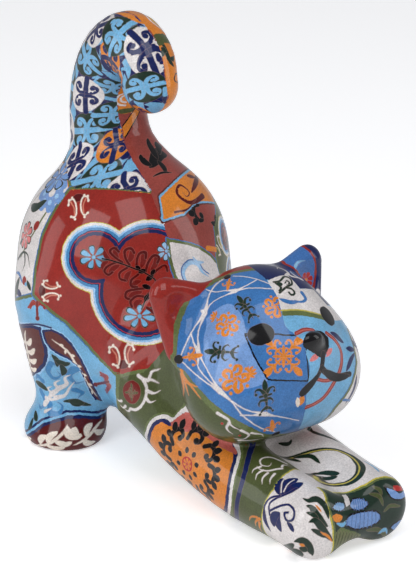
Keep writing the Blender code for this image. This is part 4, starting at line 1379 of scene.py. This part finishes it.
def drawHind(art, side):
    # Waves and leaves on the thigh, cream sprigs on the brown fields and the foot.
    hind = side + "Hind"
    thigh = (side + "Thigh",)
    art.strokes(hind, "deepSky", "taper", thigh, (
        (3, (11, 40), (9, 36), (11.4, 32.6), (14.4, 34.6), (13, 37)),
        (3, (19, 39), (17.4, 35), (20, 31), (22.4, 33)), (3, (2, 24), (5, 20), (3, 16.6), (0, 18)),
        (3, (8, 19), (8.6, 16), (13, 16), (14.6, 19), (11.6, 20.6)), (2.6, (5, 30), (2.4, 32), (0, 29)),
        (2.6, (20, 27), (23.6, 25), (22, 21.6)),
    ))
    art.strokes(hind, "white", "taper", thigh, (
        (2.6, (5, 19), (8.6, 24), (7, 26.6), (9.6, 28)), (2.8, (9, 24), (12.6, 27), (11.4, 30), (14, 32)),
        (2.6, (13, 27.4), (16.6, 30), (16, 33.6), (18, 35.6)),
        (2.2, (11, 22.4), (16, 24), (18, 28), (19.4, 31.6)), (1.8, (5.4, 21.6), (10.4, 21.6), (13.4, 24)),
        (1.4, (6, 16), (9, 17.6)),
    ))
    art.strokes(hind, "green", "leaf", thigh, (
        (2.2, (11.6, 45), (13.4, 42), (13.2, 39)), (2.6, (12.6, 42.6), (15.6, 41), (17.6, 42)),
        (2.4, (14.6, 40.6), (15.6, 37.4), (15, 34.6)), (3.4, (-1.6, 27.6), (3, 27.4), (7, 25.6)),
        (2.2, (15, 21), (20, 20.8), (28, 18)), (3.4, (18, 21), (22, 20), (25, 19.4)),
        (2.2, (-0.6, 14.6), (1.6, 12.8), (3.6, 11.6)), (2, (0.4, 12), (0.6, 8.6), (-0.4, 6.6)),
    ))
    brown = (side + "Brown",)
    art.strokes(hind, "cream", "leaf", brown, (
        (1.6, (-3.6, 30), (-3, 38), (-2.4, 48), (-0.6, 52.6)), (2.2, (-2.6, 46), (0.6, 47), (2.6, 50)),
        (2.2, (-2.8, 42), (1, 42.6), (3.8, 45.6)), (2.2, (-3, 38), (1, 38.2), (3.8, 40.4)),
        (2, (-3.2, 34), (0, 33.8), (2.6, 35.6)), (2.2, (-2.8, 46), (-6, 46), (-8.6, 49)),
        (2.2, (-3, 41), (-7, 41), (-10, 44)), (2, (-3.2, 36), (-7, 36), (-10, 38)),
    ))
    lens = (side + "Lens",)
    if side == "right":
        edge = ((-52, -22.6), (-49.4, -22), (-44, -21.6), (-40.8, -21.9), (-36.4, -23))
        art.line("side", "even", 0.7, "navy", edge)
        twig = ((-36.2, -28), (-29.8, -32.7), (-26.5, -37.9), (-24.1, -42.2), (-21.8, -46.7), (-18, -53.1))
        art.line("side", "leaf", 0.8, "cream", twig, lens)
        for k, (x, y) in enumerate(smoothLine(twig, 12)[1:-1]):
            c, s = cosSin((-20, -100)[k % 2])
            tip = (x + 2 * c, y + 2 * s)
            art.line("side", "leaf", 1.0, "cream", ((x, y), tip), lens)
    else:
        art.strokes(hind, "cream", "leaf", lens, (
            (0.9, (11.4, 53.6), (15.4, 50), (18.6, 44), (20.8, 38), (23, 32), (26, 25)),
            (1.3, (14, 51.6), (14.2, 49.4)), (1.3, (15.8, 49.6), (15.6, 46.8)),
            (1.3, (17.4, 47), (17, 44.2)), (1.3, (16, 50.4), (17.6, 49.2)), (1.2, (19, 44), (18.6, 41.4)),
            (1.2, (20.4, 40.6), (22, 39)), (1.2, (21.4, 37), (21, 34.4)),
        ))
    foot = (side + "Foot",)
    art.strokes(hind, "cream", "leaf", foot, (
        (1.2, (3.4, 0.6), (9, 3), (14, 8), (16.6, 12)), (2.4, (6.4, 2.4), (7, 5.4), (9.4, 7.4)),
        (2.4, (9.4, 4), (10.4, 7.2), (13, 9.4)), (2.4, (9, 2.6), (12.4, 1.6), (15.4, 2.6)),
        (2.6, (12, 5.4), (15.4, 4), (17.6, 5.2)), (2.8, (16.4, 11.6), (17, 8), (20.4, 6.4)),
        (3.2, (19.4, 11), (18.6, 8.4), (21, 7)), (1.2, (18, 3.4), (22, 5.4), (27, 9), (31, 10.6)),
        (2.4, (21.4, 5.4), (23.4, 2.8), (26.4, 2.6)), (2.4, (22.6, 6.4), (23.4, 9.4), (26, 11)),
        (2.4, (25.6, 8), (28.6, 6), (31.4, 6.2)), (2.2, (-6, 0.6), (-2, 1.4), (1.6, 3.4)),
        (2.2, (32, 3), (36, 5), (40, 8)),
    ))


def drawRear(art):
    # The white field of the rump: a large blossom on a stem, and flowers round to the back.
    ground = ("ground",)
    art.line("flank", "even", 15, "violet", ((-36.6, 39.6), (-35.8, 39.6)), ground)
    art.figure("daisy", "flank", (-36, 39.5), 0, 9.8, ("violet",), ground)
    for turn in range(0, 360, 51):
        art.line("flank", "even", 2.4, "paleBlue", placed(((0, 5.2),), (-36.2, 39.5), turn, 1), ground)
    art.lines("flank", ground, (
        ("even", 4.2, "white", (-35.4, 39.5)), ("even", 0.8, "olive", (-34.5, 30), (-39.5, 21), (-50, 7)),
        ("leaf", 3.4, "red", (-37.6, 25.6), (-40.6, 21.4)),
    ))
    art.strokes("flank", "green", "taper", ground, (
        (1.6, (-54, 5), (-48, 9.6), (-43, 9.4), (-40, 4)), (1.5, (-53, 13), (-48, 18), (-44.6, 16.6)),
        (1.3, (-46, 10), (-44.6, 5), (-46, 1)),
    ))
    art.lines("flank", ground, (
        ("leaf", 1.6, "blue", (-55, -2), (-49, -1), (-44, -4)),
        ("leaf", 3.2, "red", (-43.4, -0.6), (-42.2, -4.6)), ("even", 1.8, "sky", (-41, -4)),
        ("leaf", 3, "navy", (-50, -9), (-43, -9.5)), ("leaf", 2, "green", (-40.6, -2), (-37, -6)),
    ))
    # Hidden part of the floral panel: a tall stem with blossoms.
    art.line("rear", "taper", 1.4, "olive", ((0, -44), (7, -20), (0, 4), (4, 26)), ground)
    daisy(art, "rear", (4, 27), 0, 7.6, "violet", ground)
    daisy(art, "rear", (11, 0), 12, 5.6, "pink", ground)
    daisy(art, "rear", (-9, -14), 30, 6, "sky", ground)
    art.strokes("rear", "green", "leaf", ground, (
        (4.6, (2, -2), (-6, 2), (-12, 10)), (4.4, (6, -26), (11, -25), (15, -17)),
        (4.2, (1, 10), (8, 12), (12, 18)), (4.2, (2, -38), (-6, -36), (-12, -28)),
    ))
    art.strokes("rear", "red", "leaf", ground, ((4, (-13, 10), (-16, 15)),))


def drawBack(art):
    # Curls on the orange strip, black sprigs on the dull red, pale waves on the white.
    strip = ("backStrip",)
    art.figure("spiral", "back", (6, 20.6), -12, 5.4, ("darkRed",), strip)
    art.lines("back", strip, (
        ("leaf", 2.6, "darkRed", (11, 19.6), (22, 24), (34, 29)),
        ("leaf", 2.4, "darkRed", (17, 27.6), (25, 26.6)),
        ("taper", 1.2, "darkRed", (-6, 14.6), (2, 13.4), (12, 16)),
    ))
    left = ("leftSide",)
    art.strokes("back", "black", "leaf", left, (
        (4.6, (-2, 36.6), (3, 38), (9, 39.4), (15, 38.8)), (3.6, (6, 38), (6.6, 42), (8, 44.6)),
        (3.2, (9, 39.4), (12, 42), (16, 42.4)), (3.2, (5, 37.6), (5.4, 34.6), (4, 32)),
        (3, (0, 37), (-2, 40), (-1, 42)), (4.2, (16, 3.4), (21, 1.6), (27, 3.4), (32, 2)),
        (3, (20, 2), (23, -2), (28, -2.4)), (2.8, (21, 2.4), (24, 6.4)),
        (0.9, (-4, 33), (2, 32.6), (8, 31)),
    ))
    art.line("back", "even", 2.6, "orange", ((7, -8.4), (20, -12.6), (36, -20)), left)
    field = ("backWhite",)
    wave = ((-17, -21), (-14.6, -14.6), (-9, -12), (-3.6, -14.6), (-2, -19.6), (1.6, -23.4))
    crest = ((-18, -20), (-15.4, -13), (-9, -10.4), (-2.6, -13.4), (-0.6, -18.6), (3, -22))
    art.line("back", "leaf", 2.6, "paleBlue", wave, field)
    art.line("back", "even", 0.7, "blue", crest, field)
    art.line("back", "leaf", 1.8, "paleBlue", ((2, -15), (-3.6, -13.4), (-6, -9.4)), field)


def drawFarSide(art):
    # Far flank, tail root and the back of the head, in keeping with what is seen.
    panel = ("farPanel", "farCartouche")
    daisy(art, "farFlank", (-20, 14), 10, 5, "sky", panel)
    daisy(art, "farFlank", (-3, -9), 0, 5.6, "sky", panel)
    art.figure("spray", "farFlank", (-12, 0), -40, 6, ("black",), panel)
    art.figure("branch", "farFlank", (-19, -4), 60, 4.6, ("darkRed",), panel)
    art.figure("branch", "farFlank", (-2, 11), -100, 4.6, ("darkRed",), panel)
    for centre, turn in (((-29, 22), 30), ((10, 12), -20), ((7, -22), -150)):
        art.figure("fan", "farFlank", centre, turn, 4.6, ("cream", "yellow"), panel)
    art.figure("bird", "farFlank", (-30, -16), 8, 5.6, ("red", "rust"), ("farBand",))
    art.figure("bird", "farFlank", (-2, -42), -60, 6, ("red", "rust"), ("farBand",))
    rear = ("farRearPanel",)
    art.line("farRear", "taper", 1.4, "olive", ((14, -36), (20, -16), (12, 4), (18, 22)), rear)
    daisy(art, "farRear", (18, 22), 0, 7.6, "violet", rear)
    daisy(art, "farRear", (27, -6), 12, 5.6, "pink", rear)
    art.strokes("farRear", "green", "leaf", rear, (
        (4.4, (15, -4), (8, 0), (3, 8)), (4.4, (19, -22), (27, -20), (31, -13)),
        (3.6, (13, 8), (21, 9), (25, 14)),
    ))
    side = ("leftSide",)
    art.figure("branch", "farFlank", (-22, 44), 20, 7, ("black",), side)
    art.figure("branch", "farFlank", (14, 33), -60, 6, ("black",), side)
    head = ("head",)
    art.strokes("crown", "darkRed", "leaf", head, (
        (5, (-6, 8), (-18, 14), (-26, 8)), (5, (-6, 0), (-18, -4), (-24, -14)), (4, (-10, -12), (-16, -24)),
    ))
    crown = ("crownLeft",)
    for centre, turn in (((10, 14), 20), ((22, 2), -60), ((12, -12), 160), ((28, -20), 40)):
        art.figure("scroll", "crown", centre, turn, 6, ("white",), crown)


class Paint:
    # Small helper for shader nodes: a call adds one node and returns its result.

    def __init__(self, material):
        # Nodes go to this material.
        self.tree = material.node_tree

    def feed(self, made, slot, value):
        # Joins a socket to another node's result, or sets its number.
        if isinstance(value, bpy.types.NodeSocket):
            self.tree.links.new(value, made.inputs[slot])
        elif value is not None:
            made.inputs[slot].default_value = value

    def node(self, kind, links=(), **options):
        # A node with its options set and its sockets fed in order.
        made = self.tree.nodes.new(kind)
        for name, value in options.items():
            setattr(made, name, value)
        for slot, value in enumerate(links):
            self.feed(made, slot, value)
        return made

    def math(self, operation, *values, clamp=False):
        # One step of arithmetic on numbers.
        return self.node("ShaderNodeMath", values, operation=operation, use_clamp=clamp).outputs[0]

    def vector(self, operation, *values):
        # One step of arithmetic on vectors; a scale goes to its own socket.
        made = self.node("ShaderNodeVectorMath", (), operation=operation)
        for slot, value in enumerate(values):
            self.feed(made, 3 if operation == "SCALE" and slot == 1 else slot, value)
        return made.outputs["Value" if operation == "LENGTH" else "Vector"]

    def noise(self, place, scale, detail):
        # Even noise over the places.
        made = self.node("ShaderNodeTexNoise", (place,), noise_dimensions="3D")
        made.inputs["Scale"].default_value = scale
        made.inputs["Detail"].default_value = detail
        return made.outputs

    def read(self, name):
        # An attribute of the mesh.
        return self.node("ShaderNodeAttribute", attribute_name=name).outputs["Vector"]

    def split(self, value):
        # The three numbers of a vector.
        return self.node("ShaderNodeSeparateXYZ", (value,)).outputs

    def mix(self, share, below, above):
        # The first colour where the share is nil, the second where it is one.
        made = self.node("ShaderNodeMix", (), data_type="RGBA", blend_type="MIX")
        for slot, value in ((0, share), (6, below), (7, above)):
            self.feed(made, slot, value)
        return made.outputs[2]

    def bands(self, distance, rows):
        # A step ramp from 8 mm inside to 4 mm outside: the ink of each band, and how opaque it is.
        place = self.math("MULTIPLY_ADD", distance, 1 / 12, 8 / 12, clamp=True)
        made = self.node("ShaderNodeValToRGB", (place,))
        ramp = made.color_ramp
        ramp.interpolation = "CONSTANT"
        stops = [(0.0, (0, 0, 0, 0))]
        for low, high, ink in rows:
            if stops[-1][0] == (low + 8) / 12:
                stops.pop()
            stops.append(((low + 8) / 12, (*linear(inks[ink]), 1)))
            stops.append(((high + 8) / 12, (0, 0, 0, 0)))
        for element, (place, colour) in zip(ramp.elements, stops[:2]):
            element.position = place
            element.color = colour
        for place, colour in stops[2:]:
            ramp.elements.new(place).color = colour
        return made.outputs


glaze = {
    # Noises by scale (per millimetre) and detail: unsteady edges, slow change of tone, print speckle.
    "wobble": (0.55, 3),
    "wobbleWidth": 0.9,
    "strokeWobble": (0.5, 0.5, 0),
    "tone": (0.12, 4),
    "toneRange": (0.5, 0.78),
    "speckle": (1.5, 2),
    "speckleRange": (0.8, 0.62),
    # Sharpness of borders and strokes (per millimetre), and the soft fringe round a stroke.
    "borderEdge": -8.0,
    "strokeEdge": 6.0,
    "fringeEdge": 3.0,
    "fringeShare": 0.45,
    "fringeColour": (0.55, 0.33, 0.28, 1),
    "sockets": {
        "Roughness": 0.3,
        "Specular IOR Level": 0.06,
        "Coat Weight": 0.68,
        "Coat Roughness": 0.07,
        "Coat IOR": 1.5,
    },
}


def strokeLayer(paint, slot, wobble, colour):
    # Lays one slot of pen strokes over a colour: inside is the stroke's width less the distance to it.
    shake = paint.vector("MULTIPLY", wobble, glaze["strokeWobble"])
    along, beside, root = paint.split(paint.vector("ADD", paint.read(f"track{slot}"), shake))
    span, half, tip = paint.split(paint.read(f"pen{slot}"))
    held = paint.math("MINIMUM", paint.math("MAXIMUM", along, 0.0), span)
    beyond = paint.math("SUBTRACT", along, held)
    gap = paint.vector("LENGTH", paint.node("ShaderNodeCombineXYZ", (beyond, beside, 0.0)).outputs[0])
    share = paint.math("DIVIDE", held, span)
    fall = paint.math("POWER", paint.math("SUBTRACT", 1.0, share), tip)
    width = paint.math("MULTIPLY", half, paint.math("MULTIPLY", fall, paint.math("POWER", share, root)))
    inside = paint.math("SUBTRACT", width, gap)
    halo = paint.math("MULTIPLY_ADD", inside, glaze["fringeEdge"], 1.0, clamp=True)
    cover = paint.math("MULTIPLY_ADD", inside, glaze["strokeEdge"], 0.5, clamp=True)
    ink = paint.read(f"ink{slot}")
    fringe = paint.mix(0.5, ink, glaze["fringeColour"])
    colour = paint.mix(paint.math("MULTIPLY", halo, glaze["fringeShare"]), colour, fringe)
    return paint.mix(cover, colour, ink)


def glazeMaterial():
    # Printed ornament under clear gloss: ground, borders, pen strokes, then a faint speckle.
    material, shader = newMaterial("glaze")
    paint = Paint(material)
    place = paint.vector("SCALE", paint.node("ShaderNodeTexCoord").outputs["Object"], 1 / millimetre)
    shake = paint.vector("SUBTRACT", paint.noise(place, *glaze["wobble"])["Color"], (0.5, 0.5, 0.5))
    wobble = paint.vector("SCALE", shake, glaze["wobbleWidth"])
    colour = paint.read("ground")
    kinds = paint.split(paint.read("style"))
    gaps = paint.split(paint.vector("ADD", paint.read("border"), wobble))
    for slot in range(2):
        gap = gaps[slot]
        beyond = paint.math("MULTIPLY_ADD", gap, glaze["borderEdge"], 0.5, clamp=True)
        colour = paint.mix(beyond, colour, paint.read(f"inside{slot}"))
        for k, rows in enumerate(styles.values()):
            if rows:
                ink, cover = paint.bands(gap, rows)
                chosen = paint.math("COMPARE", kinds[slot], float(k), 0.1)
                colour = paint.mix(paint.math("MULTIPLY", chosen, cover), colour, ink)
    for slot in range(Drawing.slots):
        colour = strokeLayer(paint, slot, wobble, colour)
    tone = paint.noise(place, *glaze["tone"])[0]
    speckle = paint.noise(place, *glaze["speckle"])[0]
    light = paint.math("MULTIPLY_ADD", tone, *glaze["toneRange"])
    light = paint.math("MULTIPLY", light, paint.math("MULTIPLY_ADD", speckle, *glaze["speckleRange"]))
    material.node_tree.links.new(paint.vector("SCALE", colour, light), shader.inputs["Base Color"])
    for name, value in glaze["sockets"].items():
        shader.inputs[name].default_value = value
    return material


def record(mesh, name, domain, values):
    # One vector per face or per corner.
    layer = mesh.attributes.new(name, "FLOAT_VECTOR", domain)
    layer.data.foreach_set("vector", np.ascontiguousarray(values, np.float32).ravel())


def buildCat():
    # The skin, set down on the CAD node's place, with its drawing as attributes and its exact normals.
    points, normals, faces = catSkin()
    art = Ornament(points, faces)
    paintAreas(art)
    print("areas")
    drawFigures(art)
    print("figures")
    low, high = (np.array(corner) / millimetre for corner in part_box("cat_figurine"))
    middle = (points.min(axis=0) + points.max(axis=0)) / 2
    shift = (low + high) / 2 - middle
    shift[2] = low[2] - points[:, 2].min()
    mesh = bpy.data.meshes.new("cat")
    mesh.vertices.add(len(points))
    mesh.vertices.foreach_set("co", ((points + shift) * millimetre).astype(np.float32).ravel())
    mesh.loops.add(faces.size)
    mesh.loops.foreach_set("vertex_index", faces.astype(np.int32).ravel())
    mesh.polygons.add(len(faces))
    mesh.polygons.foreach_set("loop_start", np.arange(0, faces.size, 3, dtype=np.int32))
    mesh.update(calc_edges=True)
    mesh.validate()
    mesh.polygons.foreach_set("use_smooth", np.ones(len(faces), bool))
    drawing = art.drawing
    record(mesh, "ground", "FACE", drawing.ground)
    record(mesh, "style", "FACE", np.column_stack([*drawing.style, np.zeros(len(faces))]))
    third = np.zeros_like(drawing.border[0])
    record(mesh, "border", "CORNER", np.stack([*drawing.border, third], axis=2))
    for slot in range(2):
        record(mesh, f"inside{slot}", "FACE", drawing.inside[slot])
    for slot in range(Drawing.slots):
        record(mesh, f"track{slot}", "CORNER", drawing.track[slot])
        record(mesh, f"pen{slot}", "FACE", drawing.pen[slot])
        record(mesh, f"ink{slot}", "FACE", drawing.ink[slot])
    mesh.normals_split_custom_set_from_vertices(normals.astype(np.float32))
    mesh.materials.append(glazeMaterial())
    obj = added("cat", mesh)
    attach(obj, "root")
    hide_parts("cat_figurine")
    print("cat", len(faces))
    return obj


# Metres and degrees.
studio = {
    "lens": 137.4,
    "azimuth": -35,
    "elevation": 19.9,
    "distance": 0.9,
    "target": (0, -0.0047, 0.082),
    "lampTarget": (0, 0, 0.08),
    "floorColour": (0.94, 0.94, 0.945, 1),
    "floorSize": 6,
    # The floor's own light as it reaches the cat, and as it is seen.
    "floorGlow": (0.12, 0.5),
    # Name, azimuth, elevation, distance, width, height, radiance.
    "softboxes": (
        ("left", -76, 36, 1.3, 0.6, 1.1, 3.0),
        ("front", -14, 58, 1.3, 0.6, 0.9, 2.8),
        ("right", 52, 24, 1.2, 0.4, 0.8, 2.3),
        ("far", -122, 16, 1.2, 0.35, 0.7, 2.0),
    ),
    "skyColour": (0.93, 0.95, 1.0, 1),
    "skyLight": 0.3,
    "backdrop": 0.95,
}


def pointAt(obj, target):
    # Turns a camera or a lamp towards a place.
    obj.rotation_mode = "QUATERNION"
    obj.rotation_quaternion = (Vector(target) - obj.location).to_track_quat("-Z", "Y")


def heading(azimuth, elevation):
    # The way towards a light or the camera; azimuth 0 is in front of the cat, below 0 on its right.
    forward, across = cosSin(azimuth)
    level, up = cosSin(elevation)
    return Vector((across * level, -forward * level, up))


def seenLevel(tree, unseen, seen, socket):
    # One level for light that reaches the cat, another for what the camera sees.
    path = tree.nodes.new("ShaderNodeLightPath")
    level = tree.nodes.new("ShaderNodeMapRange")
    level.inputs["To Min"].default_value = unseen
    level.inputs["To Max"].default_value = seen
    tree.links.new(path.outputs["Is Camera Ray"], level.inputs["Value"])
    tree.links.new(level.outputs["Result"], socket)


def buildStudio():
    # Camera, softboxes, pale surroundings and floor.
    scene = bpy.context.scene
    back = heading(studio["azimuth"], studio["elevation"])
    camera = added("camera", bpy.data.cameras.new("camera"))
    camera.data.lens = studio["lens"]
    camera.data.clip_end = 100
    camera.location = Vector(studio["target"]) + back * studio["distance"]
    pointAt(camera, studio["target"])
    scene.camera = camera
    for name, azimuth, elevation, distance, width, height, radiance in studio["softboxes"]:
        lamp = bpy.data.lights.new(name, "AREA")
        lamp.shape = "RECTANGLE"
        lamp.size = width
        lamp.size_y = height
        lamp.energy = radiance * math.pi * width * height
        holder = added(name, lamp)
        holder.location = heading(azimuth, elevation) * distance
        pointAt(holder, studio["lampTarget"])
    world = bpy.data.worlds.new("studio")
    world.use_nodes = True
    sky = world.node_tree.nodes["Background"]
    sky.inputs["Color"].default_value = studio["skyColour"]
    seenLevel(world.node_tree, studio["skyLight"], studio["backdrop"], sky.inputs["Strength"])
    scene.world = world
    side = studio["floorSize"] / 2
    mesh = bpy.data.meshes.new("floor")
    corners = [(-side, -side, 0), (side, -side, 0), (side, side, 0), (-side, side, 0)]
    mesh.from_pydata(corners, [], [(0, 1, 2, 3)])
    material, shader = newMaterial("floor")
    shader.inputs["Base Color"].default_value = studio["floorColour"]
    shader.inputs["Roughness"].default_value = 0.6
    shader.inputs["Emission Color"].default_value = studio["floorColour"]
    seenLevel(material.node_tree, *studio["floorGlow"], shader.inputs["Emission Strength"])
    mesh.materials.append(material)
    added("floor", mesh)
    scene.view_settings.view_transform = "Standard"


buildCat()
buildStudio()
print("studio")
